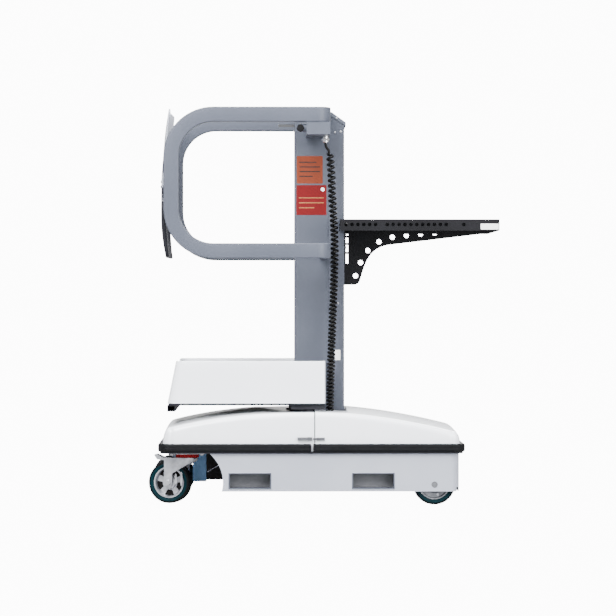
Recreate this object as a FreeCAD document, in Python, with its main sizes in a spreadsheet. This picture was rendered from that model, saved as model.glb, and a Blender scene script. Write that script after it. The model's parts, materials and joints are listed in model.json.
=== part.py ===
import FreeCAD, Part
import math
import os
import re

import Sketcher
from FreeCAD import Placement, Rotation, Vector

# Self-propelled personnel lift with a vertical mast and a load tray.
# Millimetres. +X is forwards (the load tray), -X is the entry side, +Y is the
# left side, +Z is up. The origin is on the ground under the middle of the box
# that holds the whole machine.

SIZES = (
    # wheels and casters
    ("wheel_radius", 80, "casters and drive wheels"),
    ("wheel_width", 50, "tread width"),
    ("tread_depth", 20, "polyurethane tread on the rim"),
    ("caster_x", -517, "swivel axis"),
    ("caster_y", 245, "swivel axis from the middle"),
    ("caster_trail", 67, "axle behind the swivel axis"),
    ("caster_swing", 15, "degrees the casters stand turned at rest"),
    ("caster_seal", 14, "height of the red swivel seal"),
    ("caster_plate", 6, "thickness of the top plate"),
    ("fork_gauge", 4, "caster fork sheet"),
    ("drive_x", 416, "drive wheel axis"),
    ("drive_y", 313, "middle of a drive wheel from the middle"),
    ("axle_radius", 8, "drive axle and kingpin"),
    ("running_fit", 0.05, "radial clearance of a shaft in its hole"),
    # chassis
    ("deck_bottom", 195, "top of the casters, underside of the deck"),
    ("deck_gauge", 6, "deck plate"),
    ("deck_rear", -617, "deck, entry end"),
    ("deck_front", 524, "deck, tray end"),
    ("deck_half", 372, "half width of the deck"),
    ("panel_half", 360, "half width of the side panels"),
    ("panel_front", 510, "front face of the frame"),
    ("panel_bottom", 52, "underside of the side panels"),
    ("panel_gauge", 5, "side panel sheet"),
    ("panel_corner", 42, "front corners of the frame"),
    ("bulkhead_x", -362, "rear wall of the frame"),
    ("arch_z", 88, "middle of the wheel arch"),
    ("arch_radius", 137, "wheel arch"),
    ("pocket_rear_x", -278.5, "middle of the rear fork pocket"),
    ("pocket_front_x", 185.5, "middle of the front fork pocket"),
    ("pocket_width", 153, "opening"),
    ("pocket_height", 53, "opening"),
    ("pocket_bottom", 65, "lowest edge of the opening"),
    ("pocket_gauge", 4, "fork pocket wall"),
    ("bumper_rear", -625, "entry end"),
    ("bumper_front", 532, "tray end"),
    ("bumper_half", 380, "half width over the bumpers"),
    ("bumper_height", 31, "height of the rubber"),
    ("bumper_depth", 17, "thickness of the rubber"),
    ("bumper_corner_rear", 48, "plan radius"),
    ("bumper_corner_front", 42, "plan radius"),
    ("bumper_gap", 8, "gap between the two halves"),
    ("bumper_seam", -45, "middle of that gap"),
    # hoods
    ("hood_seam", -35, "joint between the hoods"),
    ("hood_seam_gap", 4, "gap at that joint"),
    ("hood_gauge", 4, "moulded wall"),
    ("hood_crown", 13, "rise of the middle over the edges"),
    ("hood_edge", 22, "radius along the top edges"),
    ("hood_rear_top", 349, "edge height at the joint, rear hood"),
    ("hood_front_top", 351, "edge height at the joint, front hood"),
    ("hood_rear_fall", 60, "fall of the rear hood to its raked face"),
    ("hood_front_fall", 77, "fall of the front hood to its nose"),
    ("hood_fit", 1.5, "hood to bumper"),
    # mast
    ("mast_x", -43.5, "middle of the mast sections"),
    ("mast_half_x", 64.5, "outer section, half depth"),
    ("mast_half_y", 110, "outer section, half width"),
    ("mast_gauge", 6, "wall of the sections"),
    ("mast_slip", 2, "gap between two sections"),
    ("shell_bottom", 215, "lower end of the moving outer section"),
    ("shell_front", 83, "front cover"),
    ("lid_top", 1496, "top of the mast"),
    ("lid_gauge", 20, "top cap"),
    ("lid_slope_x", 34, "where the cap begins to fall"),
    ("lid_fall", 32, "fall of the cap to the front"),
    ("column_top", 1400, "top of the fixed section"),
    ("foot_gauge", 12, "mast foot plate"),
    ("stage_rest", 0.3, "gap under a lowered section"),
    ("cylinder_radius", 22, "barrel of the telescopic cylinder"),
    # platform and rails
    ("rail_tube", 56.6, "rail section, in the plane of the rail"),
    ("rail_depth", 40, "rail section, across"),
    ("rail_gauge", 3, "rail wall"),
    ("rail_half", 320, "half width over the rails"),
    ("rail_top", 1502, "top of the upper rail"),
    ("rail_bottom", 930, "underside of the lower rail"),
    ("rail_rear", -605, "entry end of the rails"),
    ("rail_front", 27, "outside of the elbows at the mast"),
    ("rail_corner", 160, "bend radius at the middle of the tube"),
    ("elbow_radius", 32, "bend radius of the elbows"),
    ("floor_top", 395, "platform floor"),
    ("floor_gauge", 14, "platform floor"),
    ("floor_frame", 7, "steel frame under the floor"),
    ("skirt_rear", -591, "foot of the skirt, entry end"),
    ("skirt_lean", 32, "slope of the entry end"),
    ("skirt_front", 6, "skirt beside the mast"),
    ("skirt_half", 312, "half width of the skirt"),
    ("skirt_top", 541, "toe board top"),
    ("skirt_gauge", 5, "moulded wall"),
    ("entry_half", 190, "half width of the step-in"),
    ("mat_gauge", 4, "ribbed mat"),
    ("gate_half", 268, "hinge pin from the middle"),
    ("gate_gap", 8, "gap between a leaf and the middle"),
    ("gate_bottom", 935, "lower edge"),
    ("gate_top", 1500, "upper edge"),
    ("gate_x", -585, "hinge pin"),
    ("gate_bow", 34, "how far a leaf bows out"),
    ("gate_nose", 6, "belly of the leaf beyond the hinge ears"),
    ("gate_lean", 8, "ends of the leaf behind the hinge axis"),
    ("gate_inset", 14, "outer edge of the leaf from the hinge axis"),
    ("gate_belly", 60, "belly above the middle of the leaf"),
    ("gate_gauge", 8, "thickness of a leaf"),
    ("console_top", 1475, "control console"),
    # cable
    ("cable_y", -190, "curly cable and its gland"),
    ("cable_wire", 9, "diameter of the wire"),
    ("cable_coil", 31, "outer diameter of the coil"),
    ("gland_x", 9, "gland"),
    ("gland_bottom", 1372, "lower end of the gland"),
    # load tray
    ("tray_rear", 64, "tray beside the mast"),
    ("tray_front", 666, "tray end"),
    ("tray_half", 290, "half width"),
    ("tray_top", 1078, "loading face"),
    ("tray_side", 43, "height of the sides"),
    ("tray_gauge", 3, "sheet"),
    ("tray_slip", 0.5, "tray carriage to the mast cover"),
    ("tray_hole", 14, "holes in the sides"),
    ("tray_hole_pitch", 22.3, "spacing of those holes"),
    ("arm_y", 12, "tray arms from the middle"),
    ("arm_plate_half", 60, "half width of the plate behind the arms"),
    ("arm_foot", 831, "lowest edge of the arms"),
    ("arm_pitch", 55, "spacing of the holes along an arm"),
    ("arm_gauge", 5, "tray arm sheet"),
    ("arm_hole", 20, "holes along an arm"),
    ("carriage_front", 90, "tray carriage plate"),
)

DOC = FreeCAD.newDocument("PersonnelLift")
SHEET = DOC.addObject("Spreadsheet::Sheet", "Sizes")
NODES = {}
LEFT = Vector(0, 1, 0)


class Values:
    """The numbers of the sheet, one attribute for each alias."""


S = Values()


def fill_sheet():
    """Write every size with its alias and its note."""
    for row, (alias, number, note) in enumerate(SIZES, 1):
        SHEET.set(f"A{row}", alias)
        SHEET.set(f"B{row}", str(number))
        SHEET.set(f"C{row}", note)
        SHEET.setAlias(f"B{row}", alias)
    DOC.recompute()
    for alias, _, _ in SIZES:
        setattr(S, alias, float(SHEET.get(alias)))


def linked(text):
    """An expression in plain aliases, pointed at the sheet."""
    def point(word):
        return "Sizes." + word.group(0) if hasattr(S, word.group(0)) else word.group(0)
    return re.sub(r"[a-z][a-z_]*", point, str(text))


def number(text):
    """The value of an expression now."""
    return float(SHEET.evalExpression(linked(text)))


def node(name, item):
    """Name the finished object of a node."""
    item.Label = name
    NODES[name] = item
    return item


def bind(item, **places):
    """Bind properties to expressions; x, y and z are the place of the item."""
    for key, text in places.items():
        path = f"Placement.Base.{key}" if key in ("x", "y", "z") else key
        item.setExpression(path, linked(text))
    return item


def block(name, x, y, z):
    """A box from three pairs of expressions."""
    item = DOC.addObject("Part::Box", name)
    bind(item, Length=f"({x[1]}) - ({x[0]})", Width=f"({y[1]}) - ({y[0]})",
         Height=f"({z[1]}) - ({z[0]})", x=x[0], y=y[0], z=z[0])
    return item


AXIS_TURN = {"x": Rotation(LEFT, 90), "y": Rotation(Vector(1, 0, 0), -90), "z": Rotation()}


def rod(name, axis, radius, span, across):
    """A cylinder along an axis; across is its other two coordinates in order."""
    item = DOC.addObject("Part::Cylinder", name)
    item.Placement = Placement(Vector(), AXIS_TURN[axis])
    others = [letter for letter in "xyz" if letter != axis]
    place = {axis: span[0], others[0]: across[0], others[1]: across[1]}
    bind(item, Radius=radius, Height=f"({span[1]}) - ({span[0]})", **place)
    return item


def less(name, base, *tools):
    """Base with the tools cut away."""
    item = DOC.addObject("Part::Cut", name)
    item.Base = base
    item.Tool = tools[0] if len(tools) == 1 else joined(name + "_tools", *tools)
    return item


def joined(name, *pieces):
    """Pieces fused into one."""
    item = DOC.addObject("Part::MultiFuse", name)
    item.Shapes = list(pieces)
    return item


def group(name, *pieces):
    """Separate solids in one node."""
    item = DOC.addObject("Part::Compound", name)
    item.Links = list(pieces)
    return item


def mirrored(name, source):
    """The same piece on the other side of the machine."""
    item = DOC.addObject("Part::Mirroring", name)
    item.Source = source
    item.Normal = LEFT
    return item


def both_sides(name, source):
    """A piece and its mirror image, as separate solids."""
    return group(name, source, mirrored(name + "_left", source))


def feature(name, shape):
    """A shape made with Part's own functions."""
    item = DOC.addObject("Part::Feature", name)
    item.Shape = shape
    return item


def sketch_on(body, role, points):
    """A closed outline with every corner bound to a pair of expressions."""
    sketch = body.newObject("Sketcher::SketchObject", body.Name + "_outline")
    plane = [p for p in body.Origin.OriginFeatures if p.Role == role][0]
    sketch.AttachmentSupport = (plane, [""])
    sketch.MapMode = "FlatFace"
    corners = [(number(u), number(v)) for u, v in points]
    count = len(points)
    for i in range(count):
        start = Vector(*corners[i], 0)
        end = Vector(*corners[(i + 1) % count], 0)
        sketch.addGeometry(Part.LineSegment(start, end))
    for i in range(count):
        sketch.addConstraint(Sketcher.Constraint("Coincident", i, 2, (i + 1) % count, 1))
    for i in range(count):
        for kind, k in (("DistanceX", 0), ("DistanceY", 1)):
            made = sketch.addConstraint(Sketcher.Constraint(kind, -1, 1, i, 1, corners[i][k]))
            sketch.setExpression(f"Constraints[{made}]", linked(points[i][k]))
    return sketch


def prism(name, role, points, span):
    """A padded outline. The span lies along Z, or along Y for an XZ outline."""
    body = DOC.addObject("PartDesign::Body", name)
    sketch = sketch_on(body, role, points)
    pad = body.newObject("PartDesign::Pad", name + "_pad")
    pad.Profile = sketch
    bind(pad, Length=f"({span[1]}) - ({span[0]})")
    along = "y" if role == "XZ_Plane" else "z"
    if along == "y":
        pad.Reversed = True
    bind(body, **{along: span[0]})
    return body


def turned(name, points, axis, place):
    """A revolved outline of (radius, height) corners, its axis along Y or Z."""
    body = DOC.addObject("PartDesign::Body", name)
    sketch = sketch_on(body, "XZ_Plane", points)
    spin = body.newObject("PartDesign::Revolution", name + "_spin")
    spin.Profile = sketch
    spin.ReferenceAxis = (sketch, ["V_Axis"])
    spin.Angle = 360
    body.Placement = Placement(Vector(), AXIS_TURN[axis])
    bind(body, x=place[0], y=place[1], z=place[2])
    return body


def rounded_wire(x0, x1, half, z, rear_radius, front_radius):
    """A closed plan outline with round corners, flat at height z."""
    edges = []
    corners = ((x1, half, front_radius, 0), (x0, half, rear_radius, 90),
               (x0, -half, rear_radius, 180), (x1, -half, front_radius, 270))
    ends = []
    for x, y, radius, start in corners:
        middle = Vector(x - math.copysign(radius, x - (x0 + x1) / 2),
                        y - math.copysign(radius, y), z)
        points = []
        for step in (0, 45, 90):
            angle = math.radians(start + step)
            points.append(middle + Vector(math.cos(angle), math.sin(angle), 0) * radius)
        edges.append(Part.Arc(*points).toShape())
        ends.append((points[0], points[2]))
    whole = []
    for i in range(4):
        whole.append(edges[i])
        whole.append(Part.makeLine(ends[i][1], ends[(i + 1) % 4][0]))
    return Part.Wire(whole)


def rounded_prism(x0, x1, half, z0, z1, rear_radius, front_radius):
    """A plan outline with round corners, as a solid between two heights."""
    face = Part.Face(rounded_wire(x0, x1, half, z0, rear_radius, front_radius))
    return face.extrude(Vector(0, 0, z1 - z0))


def section_face(middle, along, across, half_width, half_height, radius):
    """A rectangle or circle square to a direction; across is its width way."""
    along = along.normalize()
    across = across.normalize()
    up = along.cross(across)
    if radius >= min(half_width, half_height):
        return Part.Face(Part.Wire(Part.makeCircle(radius, middle, along)))
    corners = [middle + across * half_width * a + up * half_height * b
               for a, b in ((1, 1), (-1, 1), (-1, -1), (1, -1), (1, 1))]
    return Part.Face(Part.makePolygon(corners))


def bent_tube(points, bends, face):
    """A face carried along straight runs joined by tangent arcs."""
    pieces = []
    here = points[0]
    for i in range(1, len(points)):
        run = (points[i] - points[i - 1]).normalize()
        if i == len(points) - 1:
            pieces.append(face.extrude(points[i] - here))
            break
        onward = (points[i + 1] - points[i]).normalize()
        turn = run.getAngle(onward)
        back = bends[i - 1] * math.tan(turn / 2)
        start = points[i] - run * back
        pieces.append(face.extrude(start - here))
        face = face.translated(start - here)
        axis = run.cross(onward).normalize()
        centre = start + axis.cross(run) * bends[i - 1]
        pieces.append(face.revolve(centre, axis, math.degrees(turn)))
        face = face.rotated(centre, axis, math.degrees(turn))
        here = points[i] + onward * back
    return pieces[0].multiFuse(pieces[1:]).removeSplitter()


# ---------------------------------------------------------------- chassis


def base_frame():
    """Welded frame: side panels, floor, bulkhead, wheel arches, fork openings."""
    shell = rounded_prism(S.bulkhead_x - 66, S.panel_front, S.panel_half,
                          S.panel_bottom, S.deck_bottom, 1, S.panel_corner)
    inner = rounded_prism(S.bulkhead_x + S.panel_gauge, S.panel_front - S.panel_gauge,
                          S.panel_half - S.panel_gauge, S.panel_bottom + S.panel_gauge,
                          S.deck_bottom + 1, 1, S.panel_corner - S.panel_gauge)
    frame = shell.cut(inner)
    behind = Part.makeBox(200, 2 * (S.panel_half - S.panel_gauge), 300,
                          Vector(S.bulkhead_x - 200, S.panel_gauge - S.panel_half, 0))
    arch = Part.makeCylinder(S.arch_radius, 4 * S.panel_half,
                             Vector(S.caster_x, -2 * S.panel_half, S.arch_z), LEFT)
    frame = frame.cut(behind).cut(arch)
    for side in (-1, 1):
        well = Part.makeBox(2 * S.wheel_radius + 20, S.wheel_width + 16, S.panel_gauge + 20,
                            Vector(S.drive_x - S.wheel_radius - 10,
                                   side * S.drive_y - S.wheel_width / 2 - 8,
                                   S.panel_bottom - 10))
        frame = frame.cut(well)
    for middle in (S.pocket_rear_x, S.pocket_front_x):
        frame = frame.cut(pocket_solid(middle, S.pocket_gauge, S.panel_half + 10))
    hole = Part.makeCylinder(10.2, 4 * S.panel_half,
                             Vector(S.drive_x, -2 * S.panel_half, S.wheel_radius - 2), LEFT)
    return node("base_frame", feature("frame_shell", frame.cut(hole)))


def pocket_solid(middle, wall, half):
    """The outside of a fork pocket with a given wall, as a solid."""
    return Part.makeBox(S.pocket_width + 2 * wall, 2 * half, S.pocket_height + 2 * wall,
                        Vector(middle - S.pocket_width / 2 - wall, -half,
                               S.pocket_bottom - wall))


def fork_pockets():
    """Two rectangular tubes across the frame, open at both ends."""
    tubes = []
    for word in ("rear", "front"):
        middle = f"pocket_{word}_x"
        half = "pocket_width / 2"
        outer = block(f"pocket_{word}_outer",
                      (f"{middle} - {half} - pocket_gauge", f"{middle} + {half} + pocket_gauge"),
                      ("-panel_half - 2", "panel_half + 2"),
                      ("pocket_bottom - pocket_gauge",
                       "pocket_bottom + pocket_height + pocket_gauge"))
        bore = block(f"pocket_{word}_bore", (f"{middle} - {half}", f"{middle} + {half}"),
                     ("-panel_half - 9", "panel_half + 9"),
                     ("pocket_bottom", "pocket_bottom + pocket_height"))
        tubes.append(less(f"pocket_{word}", outer, bore))
    return node("fork_pockets", group("fork_pocket_pair", *tubes))


def deck_plate():
    """Flat deck over the frame and the casters."""
    plate = rounded_prism(S.deck_rear, S.deck_front, S.deck_half, S.deck_bottom,
                          S.deck_bottom + S.deck_gauge,
                          S.bumper_corner_rear - 8, S.bumper_corner_front - 8)
    return node("deck_plate", feature("deck_sheet", plate))


def bumper(name, rear_half):
    """One half of the rubber ring round the deck."""
    low = S.deck_bottom + S.deck_gauge
    high = low + S.bumper_height
    ring = rounded_prism(S.bumper_rear, S.bumper_front, S.bumper_half, low, high,
                         S.bumper_corner_rear, S.bumper_corner_front)
    ring = ring.cut(hood_plan(0, low - 1, high + 1))
    split = S.bumper_seam - S.bumper_gap / 2 if rear_half else S.bumper_seam + S.bumper_gap / 2
    start = split - 2000 if rear_half else split
    keep = Part.makeBox(2000, 2000, 200, Vector(start, -1000, low - 50))
    return node(name, feature(name + "_rubber", ring.common(keep)))


def hood_plan(inset, low, high):
    """The ground plan that both hoods fill, inside the bumpers."""
    depth = S.bumper_depth + inset
    return rounded_prism(S.bumper_rear + depth, S.bumper_front - depth, S.bumper_half - depth,
                         low, high, S.bumper_corner_rear - depth,
                         S.bumper_corner_front - depth)


def hood_section(x, top, inset):
    """A cross section: upright sides, round edges and a crowned top."""
    half = S.bumper_half - S.bumper_depth - S.hood_fit - inset
    low = S.deck_bottom + S.deck_gauge - inset
    top = top - inset
    edge = S.hood_edge
    lean = edge * (1 - math.cos(math.radians(45)))
    side = [Vector(x, -half, low), Vector(x, -half, top - edge)]
    corner = Vector(x, -half + lean, top - lean)
    shoulder = Vector(x, -half + edge, top)
    crown = Vector(x, 0, top + S.hood_crown)
    wire = [Part.makeLine(side[0], side[1]),
            Part.Arc(side[1], corner, shoulder).toShape(),
            Part.Arc(shoulder, crown, flipped(shoulder)).toShape(),
            Part.Arc(flipped(shoulder), flipped(corner), flipped(side[1])).toShape(),
            Part.makeLine(flipped(side[1]), flipped(side[0])),
            Part.makeLine(flipped(side[0]), side[0])]
    return Part.Wire(wire)


def flipped(point):
    """The same point on the other side of the machine."""
    return Vector(point.x, -point.y, point.z)


def hood_stations(rear_hood):
    """Places along X and edge heights: a level run at the mast that falls faster
    towards the end, then the raked face."""
    gap = S.hood_seam_gap / 2
    if rear_hood:
        start, end, fall, power = S.hood_seam - gap, S.bumper_rear + 28, S.hood_rear_fall, 2.5
        top, nose, foot = S.hood_rear_top, S.bumper_rear + S.bumper_depth, 235
    else:
        start, end, fall, power = S.hood_seam + gap, S.bumper_front - 30, S.hood_front_fall, 1.8
        top, nose, foot = S.hood_front_top, S.bumper_front - S.bumper_depth, 240
    stations = []
    for step in range(7):
        part = step / 6
        stations.append((start + (end - start) * part, top - fall * part ** power))
    stations.append((nose, foot))
    return stations


def hood(name, rear_hood):
    """A moulded hood: crowned, falling away to its end, notched for the mast."""
    skins = []
    for inset in (0, S.hood_gauge):
        wires = [hood_section(x, top, inset) for x, top in hood_stations(rear_hood)]
        solid = Part.makeLoft(wires, True, True)
        low = S.deck_bottom + S.deck_gauge - 2 * inset
        skins.append(solid.common(hood_plan(S.hood_fit + inset, low, low + 400)))
    shell = skins[0].cut(skins[1])
    clear = 4
    notch = Part.makeBox(S.shell_front + clear - (S.mast_x - S.mast_half_x) + 32,
                         2 * (S.mast_half_y + clear), 400,
                         Vector(S.mast_x - S.mast_half_x - 32, -S.mast_half_y - clear, 190))
    well = Part.makeCylinder(S.cable_coil / 2 + 6, 400, Vector(cable_foot_x(), S.cable_y, 190))
    mate = 20
    shell = shell.cut(notch).cut(well)
    seam = S.hood_seam + S.hood_seam_gap / 2
    if not rear_hood:
        slot = Part.makeBox(cable_foot_x() - seam + mate, S.cable_coil + 12, 400,
                            Vector(seam - mate, S.cable_y - S.cable_coil / 2 - 6, 190))
        shell = shell.cut(slot)
    return node(name, feature(name + "_moulding", shell))


def cable_foot_x():
    """Where the curly cable goes into the deck."""
    return S.gland_x + S.cable_coil / 2


def battery_box():
    """Blue steel box between the casters, with the charger socket behind it."""
    outer = block("battery_box_outer", ("-500", "-448"), ("-92", "92"), ("73", "deck_bottom"))
    inner = block("battery_box_inner", ("-497", "-451"), ("-89", "89"), ("76", "deck_bottom + 1"))
    return node("battery_box", less("battery_box_shell", outer, inner))


def arch_liner():
    """Black liner from the bulkhead to the battery box."""
    outer = block("liner_outer", ("-447.7", "bulkhead_x"), ("-92", "92"), ("80", "deck_bottom"))
    inner = block("liner_inner", ("-444", "bulkhead_x - 4"), ("-88", "88"),
                  ("84", "deck_bottom + 1"))
    return node("arch_liner", less("liner_shell", outer, inner))


def batteries():
    """Two sealed batteries on the frame floor, each side of the mast foot."""
    floor = "panel_bottom + panel_gauge"
    cases = [block(f"battery_{i}", (x, f"{x} + 175"), (y, f"{y} + 165"), (floor, f"{floor} + 120"))
             for i, (x, y) in enumerate((("-120", "-340"), ("-120", "175")))]
    return node("batteries", group("battery_pair", *cases))


def charger():
    """Finned battery charger."""
    floor = "panel_bottom + panel_gauge"
    base = block("charger_case", ("-110", "70"), ("-150", "-40"), (floor, f"{floor} + 50"))
    fins = [block(f"charger_fin_{i}", ("-100", "60"), (f"{-148 + 12 * i}", f"{-145 + 12 * i}"),
                  (f"{floor} + 50", f"{floor} + 66")) for i in range(9)]
    return node("charger", joined("charger_body", base, *fins))


def hydraulic_unit():
    """Electric motor, pump block and oil tank lying on the frame floor."""
    floor = "panel_bottom + panel_gauge"
    tank = rod("oil_tank", "x", "45", ("330", "480"), ("0", f"{floor} + 48"))
    motor = rod("pump_motor", "x", "40", ("285 - 8", "300"), ("0", f"{floor} + 48"))
    pump = block("pump_block", ("300", "330"), ("-48", "48"), (floor, f"{floor} + 96"))
    feet = block("unit_foot", ("330", "480"), ("-30", "30"), (floor, f"{floor} + 8"))
    return node("hydraulic_unit", joined("hydraulic_pack", tank, motor, pump, feet))


def drive_controller():
    """Motor controller with three power studs."""
    floor = "panel_bottom + panel_gauge"
    case = block("controller_case", ("-110", "60"), ("20", "140"), (floor, f"{floor} + 55"))
    studs = [rod(f"controller_stud_{i}", "z", "4", (f"{floor} + 55", f"{floor} + 68"),
                 (f"{-80 + 50 * i}", "80")) for i in range(3)]
    return node("drive_controller", joined("controller_body", case, *studs))


def drive_units():
    """Motor and gearbox for each drive wheel, with the axle that carries it."""
    face = "drive_y - wheel_width / 2 - 6"
    motor = rod("drive_motor", "y", "42", ("drive_y - 170", face), ("drive_x", "wheel_radius + 25"))
    gear = rod("drive_gearbox", "y", "42", (f"{face} - 40", face), ("drive_x", "wheel_radius + 20"))
    axle = rod("drive_axle", "y", "axle_radius", (face, "drive_y + wheel_width / 2 + 4"),
               ("drive_x", "wheel_radius"))
    post = block("drive_post", ("drive_x - 50", "drive_x + 50"), (f"{face} - 60", f"{face} - 44"),
                 ("panel_bottom + panel_gauge", "deck_bottom"))
    return node("drive_units", both_sides("drive_unit_pair",
                                          joined("drive_unit", motor, gear, axle, post)))


def axle_plugs():
    """Plastic plugs in the side panels over the drive axles."""
    outer = "-panel_half - 2"
    head = rod("plug_head", "y", "12", (outer, "-panel_half"), ("drive_x", "wheel_radius - 2"))
    stem = rod("plug_stem", "y", "10", ("-panel_half", "-panel_half + panel_gauge + 2"),
               ("drive_x", "wheel_radius - 2"))
    return node("axle_plugs", both_sides("plug_pair", joined("plug", head, stem)))


def caster_plates():
    """Top plates of the casters, under the deck."""
    low = "deck_bottom - caster_plate"
    plate = block("caster_plate_sheet", ("caster_x - 70", "caster_x + 70"),
                  ("-caster_y - 52", "-caster_y + 52"), (low, "deck_bottom"))
    king = rod("kingpin", "z", "axle_radius", (f"{low} - caster_seal - 6", low),
               ("caster_x", "-caster_y"))
    return node("caster_plates", both_sides("caster_plate_pair", joined("plate_and_pin",
                                                                        plate, king)))


def caster_bolts():
    """Hexagon bolts of the caster plates."""
    heads = []
    low = "deck_bottom - caster_plate"
    for i, (dx, dy) in enumerate(((-56, -38), (56, -38), (56, 38), (-56, 38))):
        head = DOC.addObject("Part::Prism", f"caster_bolt_{i}")
        head.Polygon = 6
        bind(head, Circumradius="8", Height="5", x=f"caster_x + {dx}",
             y=f"-caster_y + {dy}", z=f"{low} - 5")
        heads.append(head)
    return node("caster_bolts", both_sides("caster_bolt_set", group("caster_bolt_four", *heads)))


def caster_seals():
    """Red castellated dust rings between plate and fork."""
    low = "deck_bottom - caster_plate - caster_seal"
    ring = rod("seal_ring", "z", "40", (low, "deck_bottom - caster_plate"),
               ("caster_x", "-caster_y"))
    bore = rod("seal_bore", "z", "30", (f"{low} - 1", "deck_bottom"), ("caster_x", "-caster_y"))
    return node("caster_seals", both_sides("caster_seal_pair", less("seal", ring, bore)))


def mast_column():
    """Fixed mast section welded to its foot plate on the deck."""
    deck = "deck_bottom + deck_gauge"
    foot = block("mast_foot", ("mast_x - mast_half_x - 24", "shell_front"),
                 ("-mast_half_y - 2", "mast_half_y + 2"), (deck, f"{deck} + foot_gauge"))
    tube = mast_tube("column", 1, f"{deck} + foot_gauge", "column_top")
    return node("mast_column", joined("column_and_foot", foot, tube))


def mast_tube(name, depth, low, high):
    """A rectangular mast section; depth counts inwards from the outer one."""
    reach = f"{depth} * (mast_gauge + mast_slip)"
    half_x, half_y = f"(mast_half_x - {reach})", f"(mast_half_y - {reach})"
    outer = block(name + "_outer", (f"mast_x - {half_x}", f"mast_x + {half_x}"),
                  (f"-{half_y}", half_y), (low, high))
    wall_x, wall_y = f"({half_x} - mast_gauge)", f"({half_y} - mast_gauge)"
    inner = block(name + "_inner", (f"mast_x - {wall_x}", f"mast_x + {wall_x}"),
                  (f"-{wall_y}", wall_y), (f"{low} - 1", f"{high} + 1"))
    return less(name + "_tube", outer, inner)


def cylinder_rest():
    """Where the cylinder stands on the mast foot."""
    return "deck_bottom + deck_gauge + foot_gauge"


def lift_cylinder():
    """Barrel of the telescopic lift cylinder, open at the top."""
    low = cylinder_rest()
    barrel = rod("barrel_outer", "z", "cylinder_radius", (low, "column_top - 60"), ("mast_x", "0"))
    bore = rod("barrel_bore", "z", "cylinder_radius - 3.3", (f"{low} + 8", "column_top"),
               ("mast_x", "0"))
    return node("lift_cylinder", less("barrel", barrel, bore))


def plunger(name, step, high):
    """One telescoping plunger; each runs inside the one before it."""
    low = f"{cylinder_rest()} + 8.3"
    radius = f"(cylinder_radius - {step} * 3.6)"
    outer = rod(name + "_outer", "z", radius, (low, high), ("mast_x", "0"))
    bore = rod(name + "_bore", "z", f"({radius} - 3.3)", (f"{low} - 1", f"{high} + 1"),
               ("mast_x", "0"))
    return node(name, less(name + "_tube", outer, bore))


def cable_socket():
    """Threaded socket on the deck that takes the lower end of the curly cable."""
    deck = "deck_bottom + deck_gauge"
    spot = (str(cable_foot_x()), "cable_y")
    base = rod("socket_base", "z", "15", (deck, f"{deck} + 12"), spot)
    neck = rod("socket_neck", "z", "10", (f"{deck} + 12", f"{deck} + 24"), spot)
    return node("cable_socket", joined("socket", base, neck))


def latch_keepers():
    """Base and hook of each draw latch, across the joint of the hoods."""
    face = "-(bumper_half - bumper_depth - hood_fit)"
    base = block("latch_base", ("-62", "-46"), (f"{face} - 3", face), ("243", "257"))
    plate = block("latch_hook_plate", ("-27", "3"), (f"{face} - 6", face), ("244", "255"))
    bail = block("latch_bail", ("-41", "-20"), (f"{face} - 9", f"{face} - 6"), ("246", "254"))
    hook = joined("latch_hook", plate, bail)
    return node("latch_keepers", group("latch_keeper_four",
                                       both_sides("latch_bases", base),
                                       both_sides("latch_hooks", hook)))


# ------------------------------------------------------- casters and wheels


def caster_place(side):
    """Placement of a caster from its own origin on the ground under its swivel."""
    turn = Rotation(Vector(0, 0, 1), side * S.caster_swing)
    return Placement(Vector(S.caster_x, side * S.caster_y, 0), turn)


def wheel_place():
    """Placement of a wheel on its axle, from a wheel that turns about Z."""
    return Placement(Vector(-S.caster_trail, 0, S.wheel_radius), AXIS_TURN["y"])


def caster_fork(word, side):
    """Stamped fork: swivel crown, two flared legs and the axle bolt."""
    top = S.deck_bottom - S.caster_plate - S.caster_seal - 1
    axle_z = S.wheel_radius
    trail = S.caster_trail
    gap = S.wheel_width / 2 + 3
    foot = 16
    outline = [Vector(-trail - foot, 0, axle_z), Vector(-trail - foot, 0, top),
               Vector(34, 0, top), Vector(32, 0, top - 12), Vector(-14, 0, top - 38),
               Vector(-trail + foot, 0, axle_z + 34), Vector(-trail + foot, 0, axle_z)]
    edges = [Part.makeLine(a, b) for a, b in zip(outline, outline[1:])]
    edges.append(Part.Arc(outline[-1], Vector(-trail, 0, axle_z - foot), outline[0]).toShape())
    face = Part.Face(Part.Wire(edges))
    legs = []
    for inner in (gap, -gap - S.fork_gauge):
        legs.append(face.extrude(LEFT * S.fork_gauge).translated(LEFT * inner))
    span = gap + S.fork_gauge
    crown = Part.makeBox(trail + foot + 10, 2 * span, S.fork_gauge,
                         Vector(-trail - foot, -span, top - S.fork_gauge))
    disc = Part.makeCylinder(38, S.fork_gauge, Vector(0, 0, top - S.fork_gauge))
    boss = Part.makeCylinder(26, S.caster_seal, Vector(0, 0, top))
    fork = crown.multiFuse(legs + [disc, boss])
    pin_bore = S.axle_radius + S.running_fit
    fork = fork.cut(Part.makeCylinder(pin_bore, 60, Vector(0, 0, top - 20)))
    bolt = Part.makeCylinder(S.axle_radius, 2 * span, Vector(-trail, -span, axle_z), LEFT)
    fork = fork.cut(bolt)
    heads = [Part.makeCylinder(11, 6, Vector(-trail, y, axle_z), LEFT) for y in (-span - 6, span)]
    whole = Part.makeCompound([fork, bolt.multiFuse(heads)])
    item = feature(f"caster_fork_{word}_sheet", whole)
    item.Placement = caster_place(side)
    return node(f"caster_fork_{word}", item)


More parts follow.
